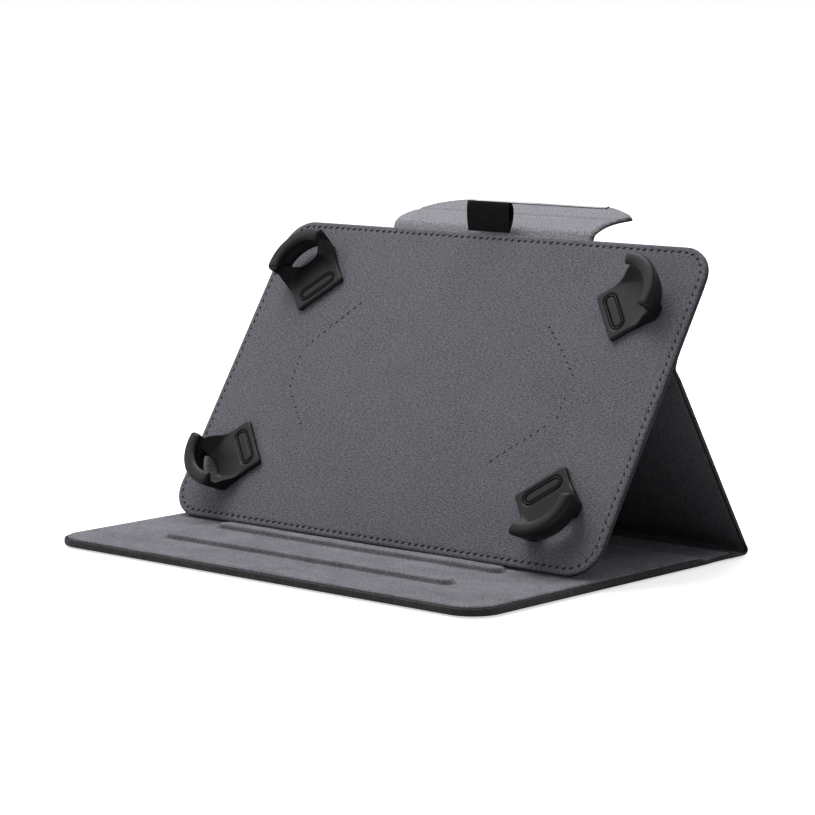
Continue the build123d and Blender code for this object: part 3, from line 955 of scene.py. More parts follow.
def seam_dip(x, y):
    """Depth of the surface along the sewn lines."""
    out = 0.20 * np.exp(-((inside_plate(x, y) - SEAM_IN) / 0.62) ** 2)
    for seam in INNER_SEAMS:
        for start, end in zip(seam[:-1], seam[1:]):
            run = np.array(end) - np.array(start)
            along = (x - start[0]) * run[0] + (y - start[1]) * run[1]
            share = np.clip(along / (run @ run), 0, 1)
            distance = np.hypot(x - start[0] - share * run[0], y - start[1] - share * run[1])
            out = np.maximum(out, 0.16 * np.exp(-(distance / 1.6) ** 2))
    return out


def make_plate_front():
    outline = strip_outline([(0.0, PLATE_W / 2), (PLATE_H, PLATE_W / 2)], CORNER_R, CORNER_R,
                            segments=14)
    x_cuts = sorted([side * (PLATE_W / 2 - inset) for side in (-1, 1) for inset in EDGE_CUTS] +
                    cuts_between(-117, 117, 3.9))
    y_cuts = sorted(list(EDGE_CUTS) + [PLATE_H - inset for inset in EDGE_CUTS] +
                    cuts_between(8, PLATE_H - 8, 3.9))
    coords, faces, margin = ring_solid(outline, PLATE_RINGS, None, x_cuts, y_cuts)
    x, y, z = coords.T
    on_top = z > PLATE_T - 0.005
    z += puff(coords, faces, on_top & (margin > 5.6), height=0.16)
    fade = on_top * smoothstep((margin - 5.5) / 7.0)
    z += fade * (0.07 * waves(x, y, seed=31, wavelength=42.0) +
                 0.035 * waves(x, y, seed=32, wavelength=14.0))
    z -= np.where(on_top, seam_dip(x, y), 0.0)
    # the fabric dips where each strap comes through it
    for clip_x, clip_y, angle in CLIP_PLACES.values():
        out_x, out_y = direction(angle)
        from_x, from_y = x - (clip_x + SLIT_Y * out_x), y - (clip_y + SLIT_Y * out_y)
        along = from_x * out_x + from_y * out_y
        across = -from_x * out_y + from_y * out_x
        dip = 0.35 * np.exp(-(along / 2.2) ** 2) * (1 - smoothstep((np.abs(across) - 9) / 4))
        z -= np.where(on_top, dip, 0)
    # painted shade: the turned-in side of the pad is darkened strongly, and the rim of its face
    # a little
    wear_and_shade = np.where((z < 2.3) & (margin < 1.0), 3.7, edge_weight(margin, 0.6) * 0.3)
    return make_object("plate_front_microsuede", coords, faces, on_plate, PLATE_SUEDE_PAINTED_SHADE, wear_and_shade,
                       sharp=60)


def make_plate_back():
    half_width, radius = PLATE_W / 2 - BACK_INSET, CORNER_R - BACK_INSET
    outline = strip_outline([(BACK_INSET, half_width), (PLATE_H - BACK_INSET, half_width)],
                            radius, radius, segments=14)
    coords, faces, margin = ring_solid(outline, PLATE_BACK_RINGS, None,
                                       cuts_between(-122, 122, 6.0),
                                       cuts_between(3, PLATE_H - 3, 6.0))
    x, y, z = coords.T
    fade = (z < 0.005) * smoothstep((margin - 3) / 8)
    z += fade * 0.05 * (1 + waves(x, y, seed=41, wavelength=40.0))
    return make_object("plate_back_microsuede", coords, faces, on_plate, BACK_SUEDE,
                       edge_weight(margin, 1.0) * 0.6, sharp=60)


plate_front = make_plate_front()
plate_back = make_plate_back()

# =====================================================================
# Stitching: every stitch is a short thread sunk at both ends
# =====================================================================
STITCH_PITCH, STITCH_LEN, STITCH_R = 3.75, 2.1, 0.50
STITCH_SLANT = 34.0


def stitch_shape(rounds=7, sides=8):
    points, faces = [], []
    for i in range(rounds):
        share = i / (rounds - 1)
        swell = math.sin(math.pi * min(max(share, 0.02), 0.98)) ** 0.5
        radius = STITCH_R * (0.35 + 0.65 * swell)
        z = 0.16 * math.sin(math.pi * share) - 0.12
        for k in range(sides):
            angle = 2 * math.pi * k / sides
            points.append(((share - 0.5) * STITCH_LEN, radius * math.cos(angle),
                           z + 0.8 * radius * math.sin(angle)))
    for i in range(rounds - 1):
        here, there = i * sides, (i + 1) * sides
        for k in range(sides):
            j = (k + 1) % sides
            faces.append([here + k, there + k, there + j, here + j])
    faces.append(list(range(sides)))
    faces.append([(rounds - 1) * sides + k for k in reversed(range(sides))])
    return np.array(points), faces


def walk(path, closed=False):
    """Evenly spaced (point, direction) pairs along a path, one for each stitch."""
    path = np.array(path, float)
    if closed:
        path = np.vstack([path, path[:1]])
    steps = np.linalg.norm(np.diff(path, axis=0), axis=1)
    reached = np.concatenate([[0], np.cumsum(steps)])
    count = max(1, int(round(reached[-1] / STITCH_PITCH)))
    out = []
    for i in range(count if closed else count + 1):
        distance = reached[-1] * i / count
        j = min(int(np.searchsorted(reached, distance, side="right") - 1), len(steps) - 1)
        run = path[j + 1] - path[j]
        length = max(steps[j], 1e-9)
        out.append((path[j] + (distance - reached[j]) / length * run, run / length))
    return out


def border_path(segments=10):
    half_width, radius = PLATE_W / 2 - SEAM_IN - (CORNER_R - SEAM_IN), CORNER_R - SEAM_IN
    low, high = SEAM_IN + radius, PLATE_H - SEAM_IN - radius
    points = []
    for x, y, first in ((half_width, low, -90), (half_width, high, 0),
                        (-half_width, high, 90), (-half_width, low, 180)):
        for i in range(segments + 1):
            angle = math.radians(first + 90 * i / segments)
            points.append((x + radius * math.cos(angle), y + radius * math.sin(angle)))
    return points


def make_stitching():
    rng = np.random.default_rng(5)
    shape, shape_faces = stitch_shape()
    places = walk(border_path(), closed=True)
    for seam in INNER_SEAMS:
        places += walk(seam)
    parts, uvs = [], []
    for point, heading in places:
        slant = math.radians(STITCH_SLANT + rng.uniform(-5, 5))
        angle = math.atan2(heading[1], heading[0]) + slant
        cosine, sine = math.cos(angle), math.sin(angle)
        one = shape * (rng.uniform(0.92, 1.06), 1.0, 1.0)
        surface = PLATE_T - seam_dip(point[0], point[1]) + 0.08
        parts.append((np.column_stack([point[0] + one[:, 0] * cosine - one[:, 1] * sine,
                                       point[1] + one[:, 0] * sine + one[:, 1] * cosine,
                                       surface + one[:, 2]]), shape_faces))
        uvs.append(np.column_stack([shape[:, 0] + rng.uniform(0, 50),
                                    np.arctan2(shape[:, 2], shape[:, 1])]))
    coords, faces = join(parts)
    return make_object("plate_stitching", coords, faces, on_plate, THREAD, uv=np.vstack(uvs),
                       sharp=180)


stitches = make_stitching()

# =====================================================================
# Closure flap: a tongue in two pieces, neck and tip, with its lining and metal bar
# =====================================================================
# half widths as (y, distance from the centre line), y = 0 at the flap fold
RIGHT_SIDE = np.array([
    (-16, 58.6), (-4, 58.4), (0, 57.9), (4.5, 56.8), (8, 56.1), (11, 55.9), (14.5, 56.4),
    (17.8, 57.9), (20.6, 60.3), (22.4, 62.3)], float)
RIGHT_TIP = np.array([
    (22.4, 62.3), (24.4, 60.6), (28.6, 55.4), (34.0, 46.2), (35.8, 42.0), (36.6, 38.5)], float)
LEFT_SIDE = np.array([
    (-16, 61.0), (-4, 60.9), (0, 61.8), (5, 64.2), (8.5, 64.6), (12.4, 64.3), (21.2, 62.4),
    (28.8, 57.2), (34.8, 48.4), (36.2, 44.0), (36.6, 40.0)], float)
FLAP_SPLIT = 9.0
NECK_YS = [-14.0, -8, -4, -2, 0, 2, 4, 6, FLAP_SPLIT]
TIP_RIGHT_YS = [
    FLAP_SPLIT, 11, 13, 15, 16.5, 18, 19.3, 20.5, 21.4, 22.0, 22.4, 22.9, 23.6, 24.6, 26, 27.5,
    29, 31, 33, 34.4, 35.4, 36.1, FLAP_LEN]
TIP_LEFT_YS = [
    FLAP_SPLIT, 11, 13, 15, 17, 19, 21, 23, 25, 27, 29, 31, 33, 34.4, 35.4, 36.1, FLAP_LEN]
FLAP_LEATHER_RINGS = [
    (1.6, 0.0, 0), (0.7, 0.0, 0), (0.25, 0.06, 0), (0.05, 0.20, 0), (0.0, 0.38, 0),
    (0.02, -0.34, 1), (0.12, -0.12, 1), (0.30, 0.0, 1), (0.55, -0.02, 1), (0.74, -0.14, 1),
    (0.8, LEATHER_T - 0.08, 0), (1.6, LEATHER_T - 0.12, 0),
]
FLAP_LINING_RINGS = [
    (2.4, LEATHER_T - 0.05, 0), (1.0, LEATHER_T - 0.05, 0), (0.62, LEATHER_T, 0),
    (0.50, -1.0, 1), (0.62, -0.85, 1), (0.95, -0.50, 1), (1.35, -0.22, 1), (1.9, -0.06, 1),
    (2.5, 0.0, 1),
]
BAR_RINGS = [
    (0.9, 0.96, 0), (0.3, 0.96, 0), (0.07, 1.05, 0), (0.0, 1.25, 0), (0.0, 1.72, 0),
    (0.10, 1.95, 0), (0.28, 2.07, 0), (0.50, 2.10, 0), (0.70, 2.03, 0), (0.85, 1.95, 0),
    (1.05, 1.93, 0),
]
BAR_W, BAR_HALF_LEN = 3.6, 40.0
BAR_Y1 = FLAP_LEN - 0.9
BAR_Y0 = BAR_Y1 - BAR_W


def tongue(right_ys, left_ys, open_end):
    """Outline of a piece of the tongue, open at its start and, if asked, at its end."""
    right = [(float(smooth_curve(RIGHT_SIDE if y <= 22.4 else RIGHT_TIP, y)), y)
             for y in right_ys]
    left = [(-float(smooth_curve(LEFT_SIDE, y)), y) for y in reversed(left_ys)]
    points, normals, open_edges = mitred_outline(right + left)
    normals[0], normals[-1] = (1, 0), (-1, 0)
    open_edges.add(len(points) - 1)
    if open_end:
        turn = len(right)
        normals[turn - 1], normals[turn] = (1, 0), (-1, 0)
        open_edges.add(turn - 1)
    return points, normals, open_edges


def flap_wave(x, y):
    """The unsupported flap curls very slightly at its free corners."""
    curl = 0.35 * smoothstep((np.abs(x) - 40) / 24) * smoothstep((y - 20) / 12)
    return curl + 0.12 * waves(x, y, seed=51, wavelength=45.0) * smoothstep((y - 6) / 10)


neck_outline = tongue(NECK_YS, NECK_YS, open_end=True)
tip_outline = tongue(TIP_RIGHT_YS, TIP_LEFT_YS, open_end=False)
NECK_CUTS = [-11, -9] + cuts_about(0.0, 6.0, 25) + [7, 8]
TIP_CUTS = [10.5, 12, 13.5] + cuts_about(CREASE, 2.8, 15) + [21.5, 23, 25, 27, 29, 31, 32.5]
flap_leather_top = top_profile([(-30, 0.95), (40, 0.95)])

flap_neck = leather_skin(
    "flap_leather_neck", neck_outline, FLAP_LEATHER_RINGS, flap_leather_top, on_neck,
    cuts_between(-60, 60, 5.0), NECK_CUTS, wear_reach=0.9)
flap_tip = leather_skin(
    "flap_leather_tip", tip_outline, FLAP_LEATHER_RINGS, flap_leather_top, on_flap,
    cuts_between(-62, 62, 5.0), TIP_CUTS, wear_reach=0.9, lift=flap_wave)


def flap_lining_neck():
    top = top_profile([(-30, 1.75), (-4, 1.75), (2, 1.75), (6, 1.9), (40, 1.9)])
    coords, faces, margin = ring_solid(neck_outline, FLAP_LINING_RINGS, top,
                                       cuts_between(-60, 60, 4.0), NECK_CUTS)
    return make_object("flap_lining_neck", coords, faces, on_neck, FLAP_SUEDE_PAINTED_LIGHT,
                       edge_weight(margin - 1.0, 1.0), sharp=60)


def flap_lining_tip():
    top = top_profile([(0, 1.9), (14.8, 1.9), (16.9, 1.42), (17.7, 1.42), (19.8, 1.9),
                       (40, 1.9)])
    bar_cuts = [6.2, 6.8, BAR_Y0 - 0.9, BAR_Y0 - 0.5, BAR_Y0 - 0.2, BAR_Y1 - 0.1]
    coords, faces, margin = ring_solid(
        tip_outline, FLAP_LINING_RINGS, top,
        cuts_between(-62, 62, 3.0) + [-41.2, -40.6, 40.6, 41.2], TIP_CUTS + bar_cuts)
    x, y, z = coords.T
    on_top = z > top(y) - 0.05
    # a second, shallower crease, and the recess for the bar
    z -= on_top * 0.20 * np.exp(-((y - 23.2) / 0.8) ** 2)
    recess = smoothstep((y - BAR_Y0 + 0.6) / 0.4) * (1 - smoothstep((np.abs(x) - 40.4) / 0.6))
    z -= on_top * 0.95 * recess
    z += flap_wave(x, y)
    return make_object("flap_lining_tip", coords, faces, on_flap, FLAP_SUEDE_PAINTED_LIGHT,
                       edge_weight(margin - 1.0, 1.0), sharp=60)


def closure_bar():
    """A rolled strip with rounded ends, with painted shade along its rounded rim and its outer
    edge.
    """
    middle = (BAR_Y0 + BAR_Y1) / 2
    outline = strip_outline([(middle - BAR_W / 2, BAR_HALF_LEN),
                             (middle + BAR_W / 2, BAR_HALF_LEN)], 1.2, 1.2, segments=8)
    coords, faces, margin = ring_solid(outline, BAR_RINGS, None, cuts_between(-38, 38, 4.0),
                                       [middle])
    x, y, z = coords.T
    z += flap_wave(x, y)
    # painted shade along the rounded rim and the outer edge of the bar
    wear_and_shade = np.maximum(edge_weight(margin, 0.8), smoothstep((y - BAR_Y1 + 0.75) / 0.35))
    return make_object("closure_metal_bar", coords, faces, on_flap, BAR_METAL, wear_and_shade, sharp=50)


flap_neck_lining = flap_lining_neck()
flap_tip_lining = flap_lining_tip()
bar = closure_bar()

# =====================================================================
# Pen loop: ribbed elastic folded into a drop-shaped loop
# =====================================================================
LOOP_H, LOOP_W, LOOP_X = 14.0, 24.4, -2.4
LOOP_POINTS, LOOP_STEPS = 56, 125   # points round the loop, steps across its width
# profile as (share of the height, y)
LOOP_BACK = np.array([
    (0, 0.0), (0.1, 0.9), (0.3, 2.2), (0.55, 3.0), (0.78, 3.0), (0.92, 2.1), (0.98, 1.1),
    (1.0, 0.0)], float)
LOOP_FRONT = np.array([
    (0, 0.0), (0.1, -0.5), (0.3, -0.95), (0.55, -1.2), (0.8, -1.15), (0.94, -0.85),
    (0.985, -0.45), (1.0, 0.0)], float)


def loop_profile():
    """(y, z) points round the standing loop: nearly flat in front, full behind."""
    out = []
    for i in range(LOOP_POINTS):
        angle = 2 * math.pi * i / LOOP_POINTS
        share = (1 - math.cos(angle)) / 2
        side = LOOP_BACK if angle <= math.pi else LOOP_FRONT
        out.append((float(smooth_curve(side, share)), share * LOOP_H))
    return np.array(out)


def make_pen_loop():
    count, half = LOOP_POINTS, LOOP_W / 2
    outer = loop_profile()
    tangents = np.roll(outer, -1, axis=0) - np.roll(outer, 1, axis=0)
    tangents /= np.maximum(np.linalg.norm(tangents, axis=1), 1e-9)[:, None]
    normals = np.column_stack([tangents[:, 1], -tangents[:, 0]])
    outward = ((outer - outer.mean(axis=0)) * normals).sum(axis=1) >= 0
    normals *= np.where(outward, 1, -1)[:, None]
    lengths = np.linalg.norm(np.diff(outer, axis=0), axis=1)
    reached = np.concatenate([[0], np.cumsum(lengths)])
    coords, uv = [], []
    for inner in (False, True):
        for j in range(LOOP_STEPS + 1):
            x = -half + LOOP_W * (j / LOOP_STEPS)
            rib = 0.07 * math.sin(2 * math.pi * x)
            pinch = 1.0 - 0.10 * math.exp(-((abs(x) - half) / 0.8) ** 2)
            side = 0.12 * (abs(x) / half) ** 6
            for i in range(count):
                thickness = 0.95 * pinch * min(1.0, 0.35 + abs(outer[i][1]) / 5.0)
                offset = -thickness - rib * 0.4 if inner else rib * 0.5
                y, z = outer[i] + normals[i] * (offset - side * 0.4)
                coords.append((x, y, max(z, -0.4)))
                uv.append((x, reached[i]))
    coords = np.array(coords)
    # slight unevenness across its width
    coords[:, 1] += 0.12 * np.sin(coords[:, 0] * 0.21 + 0.6) * (coords[:, 2] / LOOP_H) ** 2
    faces = []
    layer = count * (LOOP_STEPS + 1)
    for j in range(LOOP_STEPS):
        for i in range(count):
            k = (i + 1) % count
            quad = [j * count + i, j * count + k, (j + 1) * count + k, (j + 1) * count + i]
            faces.append(quad)
            faces.append([layer + corner for corner in reversed(quad)])
    last = LOOP_STEPS * count
    for i in range(count):
        k = (i + 1) % count
        faces.append([i, layer + i, layer + k, k])
        faces.append([last + k, layer + last + k, layer + last + i, last + i])
    return make_object("pen_loop_elastic", coords, faces, flat(PEN_LOOP, 0.0, LOOP_X), ELASTIC,
                       uv=np.array(uv), sharp=75, outwards=True)


loop = make_pen_loop()

# =====================================================================
# Corner clips: x across the clip, y outwards from its heel, z off the plate
# =====================================================================
ARC_Y, ARC_R = 12.86, 20.74     # centre and radius of the jaw's arc
JAW_END, POST_START = 56.0, 33.0    # angles each side of the clip's middle
FOOT_SIDE = [                   # (x, y) up the right side of the foot and arm
    (11.9, 0.0), (12.9, 0.35), (13.3, 1.3), (13.3, 4.0), (13.2, 8), (13.5, 11.8), (13.9, 15),
    (14.3, 18.6), (14.8, 22.2)]
ARM_END = (10.6, 26.9)
WINDOW_Y, WINDOW_END_Y = 23.2, 26.6     # window edge at its middle and at its ends
FOOT_RINGS = [
    (0.7, 0.0, 0), (0.25, 0.05, 0), (0.05, 0.25, 0), (0.0, 0.6, 0), (0.0, 1.75, 0),
    (0.18, 2.15, 0), (0.55, 2.38, 0), (0.95, 2.42, 0)]
# cross-sections swept round the arc: (distance in from the arc, z)
JAW = [
    (3.5, 2.2), (2.9, 2.7), (2.3, 4.6), (1.2, 8.0), (0.4, 11.0), (0.3, 12.6), (0.9, 13.6),
    (2.2, 14.1), (4.3, 14.1), (5.8, 13.8), (6.6, 13.2), (6.8, 12.6), (6.3, 12.1), (4.9, 11.9),
    (3.6, 11.3), (3.0, 10.2), (3.5, 7.6), (4.3, 5.0), (4.5, 3.0)]
POST = [
    (3.5, 0.25), (2.8, 0.9), (2.5, 2.6), (1.2, 8.0), (0.8, 10.2), (1.5, 10.9), (2.5, 10.1),
    (3.2, 8.0), (4.4, 5.4), (6.2, 3.1), (6.8, 1.2), (6.0, 0.35)]
BEAD_HALF_LEN, BEAD_HALF_W, BEAD_R, BEAD_Z = 9.3, 2.75, 0.34, 2.12


def clip_plan():
    """Foot and arms seen from above, counter-clockwise."""
    first = math.atan2(FOOT_SIDE[-1][1] - ARC_Y, FOOT_SIDE[-1][0])
    last = math.atan2(ARM_END[1] - ARC_Y, ARM_END[0])
    radius = ARC_R * 0.85
    right = list(FOOT_SIDE)
    for i in range(1, 7):
        angle = first + (last - first) * i / 6
        right.append((radius * math.cos(angle), ARC_Y + radius * math.sin(angle)))
    window = []
    for i in range(1, 13):
        x = ARM_END[0] * (1 - i / 6.5)
        bow = (abs(x) / ARM_END[0]) ** 2.2
        window.append((x, WINDOW_Y + (WINDOW_END_Y - WINDOW_Y) * bow))
    # the left side mirrors the arm's arc, then the foot, each from its far end
    foot_count = len(FOOT_SIDE)
    left = [(-x, y) for x, y in reversed(right[foot_count:])]
    left += [(-x, y) for x, y in reversed(right[:foot_count])]
    return right + window + left


def clip_foot():
    coords, faces, _ = ring_solid(mitred_outline(clip_plan()), FOOT_RINGS, None,
                                  cuts_between(-18, 18, 1.0), cuts_between(0, 34, 1.0),
                                  caps_first=True)
    x, y, z = coords.T
    top, bottom = z > 1.2, z < 0.3
    radius = np.hypot(x, y - ARC_Y)
    climb = smoothstep((radius - 10.6) / 6.6) * smoothstep((y - 9.0) / 10.0)
    z += np.where(top, 5.2 * climb ** 1.25, 0.0)
    # the foot is slightly dished between its arms
    z -= np.where(top, 0.25 * np.exp(-((y - 17) / 6.0) ** 2) * np.exp(-(x / 8.0) ** 2), 0)
    # room for the strap end underneath
    z += np.where(bottom & (np.abs(x) < 9.6) & (y < 12.2), 1.0, 0.0)
    return coords, faces


def sweep_band(section, start, end, steps, rounding):
    """Sweeps a closed section round the jaw's arc, narrowing it over the rounding length."""
    section = np.array(section, float)
    count = len(section)
    centre = section.mean(axis=0)
    length = math.radians(end - start) * ARC_R
    points = []
    for i in range(steps + 1):
        share = i / steps
        angle = math.radians(90 - (start + (end - start) * share))
        from_end = min(min(share, 1 - share) * length / rounding, 1.0)
        size = 0.62 + 0.38 * math.sqrt(max(0.0, 1 - (1 - from_end) ** 2))
        for inward, z in centre + (section - centre) * size:
            radius = ARC_R - inward
            points.append((radius * math.cos(angle), ARC_Y + radius * math.sin(angle), z))
    faces = []
    for i in range(steps):
        here, there = i * count, (i + 1) * count
        for k in range(count):
            j = (k + 1) % count
            faces.append([here + k, here + j, there + j, there + k])
    faces.append(list(range(count)))
    faces.append([steps * count + k for k in reversed(range(count))])
    return np.array(points), faces


def clip_body():
    """Foot, arms and jaw fused into one moulded skin by a voxel remesh, then relaxed."""
    parts = [clip_foot(), sweep_band(JAW, -JAW_END, JAW_END, steps=64, rounding=1.9)]
    for start, end in ((-JAW_END, -POST_START), (POST_START, JAW_END)):
        parts.append(sweep_band(POST, start, end, steps=24, rounding=1.6))
    source = new_object("clip_src", *join(parts))
    face_outwards(source.data)
    remesh = source.modifiers.new("remesh", "REMESH")
    remesh.mode = "VOXEL"
    remesh.voxel_size = 0.34
    relax = source.modifiers.new("relax", "SMOOTH")
    relax.factor = 0.55
    relax.iterations = 9
    evaluated = source.evaluated_get(bpy.context.evaluated_depsgraph_get())
    skin = bpy.data.meshes.new_from_object(evaluated)
    coords = np.zeros(len(skin.vertices) * 3)
    skin.vertices.foreach_get("co", coords)
    faces = [list(polygon.vertices) for polygon in skin.polygons]
    bpy.data.objects.remove(source)
    return coords.reshape(-1, 3), faces


def clip_bead(segments=14, sides=10):
    """Raised oval bead round the strap anchor."""
    path = []
    straight = BEAD_HALF_LEN - BEAD_HALF_W
    for centre_x, first in ((straight, -90), (-straight, 90)):
        for i in range(segments + 1):
            angle = math.radians(first + 180 * i / segments)
            path.append((centre_x + BEAD_HALF_W * math.cos(angle),
                         BEAD_HALF_W * math.sin(angle)))
    path = np.array(path)
    count = len(path)
    points, faces = [], []
    for i in range(count):
        tangent = path[(i + 1) % count] - path[i - 1]
        tangent /= np.linalg.norm(tangent)
        normal = np.array([tangent[1], -tangent[0]])
        for k in range(sides):
            angle = 2 * math.pi * k / sides
            x, y = path[i] + normal * (math.cos(angle) * BEAD_R)
            points.append((x, y + SLIT_Y, BEAD_Z + math.sin(angle) * BEAD_R))
    for i in range(count):
        here, there = i * sides, (i + 1) % count * sides
        for k in range(sides):
            j = (k + 1) % sides
            faces.append([here + k, there + k, there + j, here + j])
    return np.array(points), faces


def dig_groove(coords):
    """Sinks the foot's top along the bead. Returns the groove's weight at each point."""
    x, y, z = coords.T
    past_end = np.maximum(np.abs(x) - (BEAD_HALF_LEN - BEAD_HALF_W), 0)
    distance = np.hypot(past_end, y - SLIT_Y) - BEAD_HALF_W
    top = z > 1.6
    groove = np.exp(-(np.abs(distance) / 0.85) ** 3)
    z -= np.where(top, 0.85 * groove, 0)
    return np.where(top & (z < 3.2), groove, 0)


def on_clip(key, z_shift):
    """Places points given in a clip's own coordinates."""
    clip_x, clip_y, angle = CLIP_PLACES[key]
    cosine, sine = direction(angle - 90)

    def place(points):
        x, y, z = points.T
        return on_plate(np.column_stack([clip_x + x * cosine - y * sine,
                                         clip_y + x * sine + y * cosine, z + z_shift]))

    return place


body, body_faces = clip_body()
groove = dig_groove(body)
bead, bead_faces = clip_bead()
clip_coords, clip_faces = join([(body, body_faces), (bead, bead_faces)])
# painted shade in the groove round the strap anchor, bead included, carried as a negative edge
# weight
clip_groove_shade = np.concatenate([-2.4 * groove, np.full(len(bead), -1.2)])
clips = {key: make_object("clip_" + key, clip_coords, clip_faces, on_clip(key, PLATE_T + 0.15),
                          CLIP_RUBBER, clip_groove_shade, sharp=70, outwards=True)
         for key in CLIP_PLACES}

# =====================================================================
# Strap ends: webbing that rises out of each slit and lies flat under the clip's foot
# =====================================================================
STRAP_W, STRAP_STEPS = 18.0, 72
STRAP_PATH = np.array(          # (y, z) along the strap, in the clip's coordinates
    [(5.55, -0.75), (5.6, -0.4), (5.75, -0.08), (6.1, 0.16), (6.6, 0.30)] +
    [(6.6 + 4.1 * i / 12, 0.32) for i in range(1, 13)])


def strap_mesh():
    path, count = STRAP_PATH, len(STRAP_PATH)
    coords, uv = [], []
    for side in (1, -1):
        for j in range(STRAP_STEPS + 1):
            x = -STRAP_W / 2 + STRAP_W * j / STRAP_STEPS
            rib = 0.06 * math.cos(2 * math.pi * x)
            thinning = 0.18 * smoothstep((abs(x) - 8.5) / 0.5)
            for i in range(count):
                tangent = path[min(i + 1, count - 1)] - path[max(i - 1, 0)]
                tangent /= np.linalg.norm(tangent)
                normal = np.array([-tangent[1], tangent[0]])
                y, z = path[i] + normal * (side * (0.30 + rib - thinning))
                coords.append((x, y, z + 0.10))
                uv.append((x, path[i][0] + abs(min(path[i][1], 0))))
    faces = []
    layer = count * (STRAP_STEPS + 1)
    for j in range(STRAP_STEPS):
        for i in range(count - 1):
            here, there = j * count + i, (j + 1) * count + i
            faces.append([here, there, there + 1, here + 1])
            faces.append([layer + here, layer + here + 1, layer + there + 1, layer + there])
    last = STRAP_STEPS * count
    for i in range(count - 1):
        faces.append([i, i + 1, layer + i + 1, layer + i])
        k = last + i
        faces.append([k + 1, k, layer + k, layer + k + 1])
    for j in range(STRAP_STEPS):
        here, there = j * count, (j + 1) * count
        faces.append([here, layer + here, layer + there, there])
        here, there = here + count - 1, there + count - 1
        faces.append([there, layer + there, layer + here, here])
    return np.array(coords), faces, np.array(uv)


strap_coords, strap_faces, strap_uv = strap_mesh()
straps = {key: make_object("strap_end_webbing_" + key, strap_coords, strap_faces,
                           on_clip(key, PLATE_T), ELASTIC, uv=strap_uv, sharp=60, outwards=True)
          for key in CLIP_PLACES}

# =====================================================================
# Riding on the frame: the bar, plate pieces, stitching, pen loop and clips hang on their bodies;
# pieces across folds and the strap ends are only baked in place
# =====================================================================


# pieces, the parts before and after the fold, the fold's (y, z), blend angle, blend reach
FOLDS = (
    ((cover_base, lining_base), "base_cover", "spine", (FOLD_A, 0.0), 0.0, 4.5),
    ((cover_spine, lining_spine), "spine", "support_leg", (FOLD_B, 0.0), LEG_ANGLE / 2, 1.6),
    ((cover_upper, lining_upper), "support_leg", "tablet_plate", FOLD_C,
     (LEG_ANGLE + LEAN) / 2, 3.5),
    ((flap_neck, flap_neck_lining), "tablet_plate", "closure_flap", FLAP_FOLD,
     (LEAN + FLAP_RISE) / 2, 3.6),
    ((flap_tip, flap_tip_lining), "closure_flap", "flap_tip",
     np.array(FLAP_FOLD) + CREASE * direction(FLAP_RISE), FLAP_RISE, 1.6),
)
for pieces, before, after, fold, angle, reach in FOLDS:
    for piece in pieces:
        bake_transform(piece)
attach(bar, "flap_tip")
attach(plate_front, "tablet_plate")
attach(plate_back, "tablet_plate")
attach(stitches, "tablet_plate")
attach(loop, "pen_loop")
for key, (clip_x, clip_y, angle) in CLIP_PLACES.items():
    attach(clips[key], "corner_clip_" + key)
    out_x, out_y = direction(angle)
    start, end = on_plate(np.array([
        [clip_x + distance * out_x, clip_y + distance * out_y, PLATE_T]
        for distance in (6.6, 10.2)]))
    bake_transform(straps[key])

# object, material slot, CAD pieces it replaces
REPLACEMENTS = [
    (cover_base, "leather", ("base_leather_cover",)),
    (cover_spine, "leather", ("spine_leather",)),
    (cover_upper, "leather", ("leg_leather", "upper_back_leather")),
    (lining_base, "microsuede", ("base_lining", "stand_ridge_front", "stand_ridge_rear")),
    (lining_spine, "microsuede", ("spine_lining",)),
    (lining_upper, "microsuede", ("leg_lining", "upper_back_lining")),
    (plate_front, "microsuede", ("plate_front_lining",)),
    (plate_back, "microsuede", ("plate_back_lining",)),
    (flap_neck, "leather", ("flap_leather",)),
    (flap_tip, "leather", ("flap_tip_leather",)),
    (flap_neck_lining, "microsuede", ("flap_neck_lining", "flap_lining")),
    (flap_tip_lining, "microsuede", ("flap_tip_lining",)),
    (bar, "closure_metal", ("closure_bar",)),
    (loop, "elastic_webbing", ("pen_loop",)),
]
for key in CLIP_PLACES:
    REPLACEMENTS.append((clips[key], "clip_rubber", ("corner_clip_" + key,)))
    REPLACEMENTS.append((straps[key], "elastic_webbing", ("strap_end_" + key,)))
for made, _, replaced in REPLACEMENTS:
    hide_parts(*replaced)

# =====================================================================
# Floor, world, lights and camera, in metres
# =====================================================================


def floor_paper():
    """Lit paper sweep that glows a little towards the camera, more so far from the case."""
    mat = Material("floor_paper")
    coords = mat.object_coords(scale=1.0)
    mottle = mat.noise(coords, scale=3.0, detail=4.0, rough=0.5)
    distance = mat.node("VectorMath", {0: coords}, operation="LENGTH").outputs["Value"]
    glow = mat.times(mat.remap(distance, source=(0.27, 0.60), target=(0.62, 1.0)),
                     mat.node("LightPath").outputs["Is Camera Ray"])
    return mat.finish(
        color=mat.mix(mottle, (0.86, 0.86, 0.86, 1.0), (0.90, 0.90, 0.90, 1.0)),
        rough=mat.remap(mottle, target=(0.75, 0.9)), specular=0.15,
        glow_color=(1.0, 1.0, 1.0, 1.0), glow=glow)


def make_floor():
    paper = floor_paper()
    mesh = bpy.data.meshes.new("floor")
    sheet = bmesh.new()
    bmesh.ops.create_grid(sheet, x_segments=12, y_segments=12, size=7.0)
    sheet.to_mesh(mesh)
    sheet.free()
    made = bpy.data.objects.new("floor", mesh)
    made.location = (0, 0, -0.0006)
    scene.collection.objects.link(made)
    mesh.materials.append(paper)
    return made


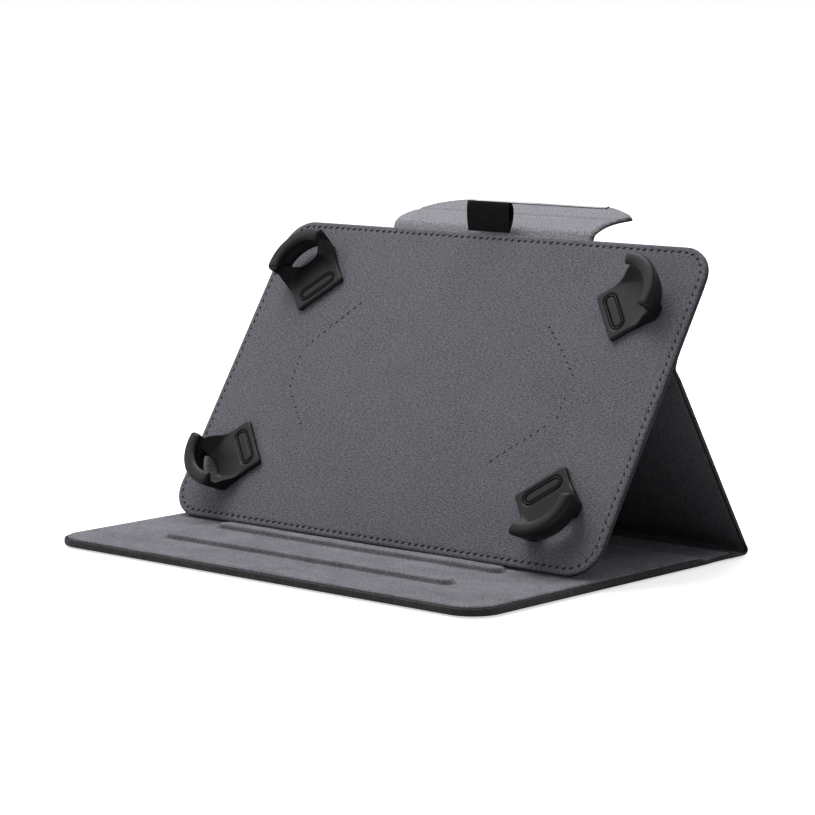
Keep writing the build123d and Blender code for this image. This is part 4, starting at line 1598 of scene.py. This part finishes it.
def make_world():
    """Soft cool light, seen by the camera as plain white."""
    world = bpy.data.worlds.new("studio")
    scene.world = world
    world.use_nodes = True
    tree = world.node_tree
    tree.nodes.clear()
    light = add_node(tree, "Background", {"Color": (0.95, 0.97, 1.0, 1.0), "Strength": 0.34})
    seen = add_node(tree, "Background", {"Color": (1.0, 1.0, 1.0, 1.0), "Strength": 1.0})
    path = add_node(tree, "LightPath")
    mixed = add_node(tree, "MixShader", {0: path.outputs["Is Camera Ray"],
                                         1: light.outputs[0], 2: seen.outputs[0]})
    add_node(tree, "OutputWorld", {0: mixed.outputs[0]})


def aim(thing, heading):
    thing.rotation_mode = "QUATERNION"
    thing.rotation_quaternion = heading.to_track_quat("-Z", "Y")


def area_light(name, location, target, size, power, color=(1, 1, 1)):
    light = bpy.data.lights.new(name, "AREA")
    light.shape = "RECTANGLE"
    light.size, light.size_y = size
    light.energy = power
    light.color = color
    made = bpy.data.objects.new(name, light)
    made.location = location
    aim(made, Vector(target) - Vector(location))
    scene.collection.objects.link(made)


def make_camera():
    lens = bpy.data.cameras.new("camera")
    lens.sensor_width = 36.0
    lens.lens = 132.036
    lens.clip_start = 0.01
    lens.clip_end = 60.0
    camera = bpy.data.objects.new("camera", lens)
    scene.collection.objects.link(camera)
    camera.location = (0.87567226, -0.96851480, 0.24527164)
    aim(camera, -Vector((0.65653063, -0.74186691, 0.13638554)))
    scene.camera = camera


make_floor()
make_world()
area_light("key_top", location=(-0.55, 0.10, 1.30), target=(0, 0.0, 0.0), size=(1.2, 1.0),
           power=20.0)
area_light("fill_left", location=(-1.3, -0.6, 0.7), target=(0, 0.0, 0.07), size=(0.9, 0.9),
           power=4.5, color=(0.97, 0.98, 1.0))
area_light("rim_back", location=(0.5, 1.3, 0.7), target=(0, 0.05, 0.1), size=(1.0, 0.5),
           power=3.0)
make_camera()
scene.view_settings.view_transform = "Standard"
scene.view_settings.look = "None"
scene.view_settings.exposure = 0.0
scene.view_settings.gamma = 1.0
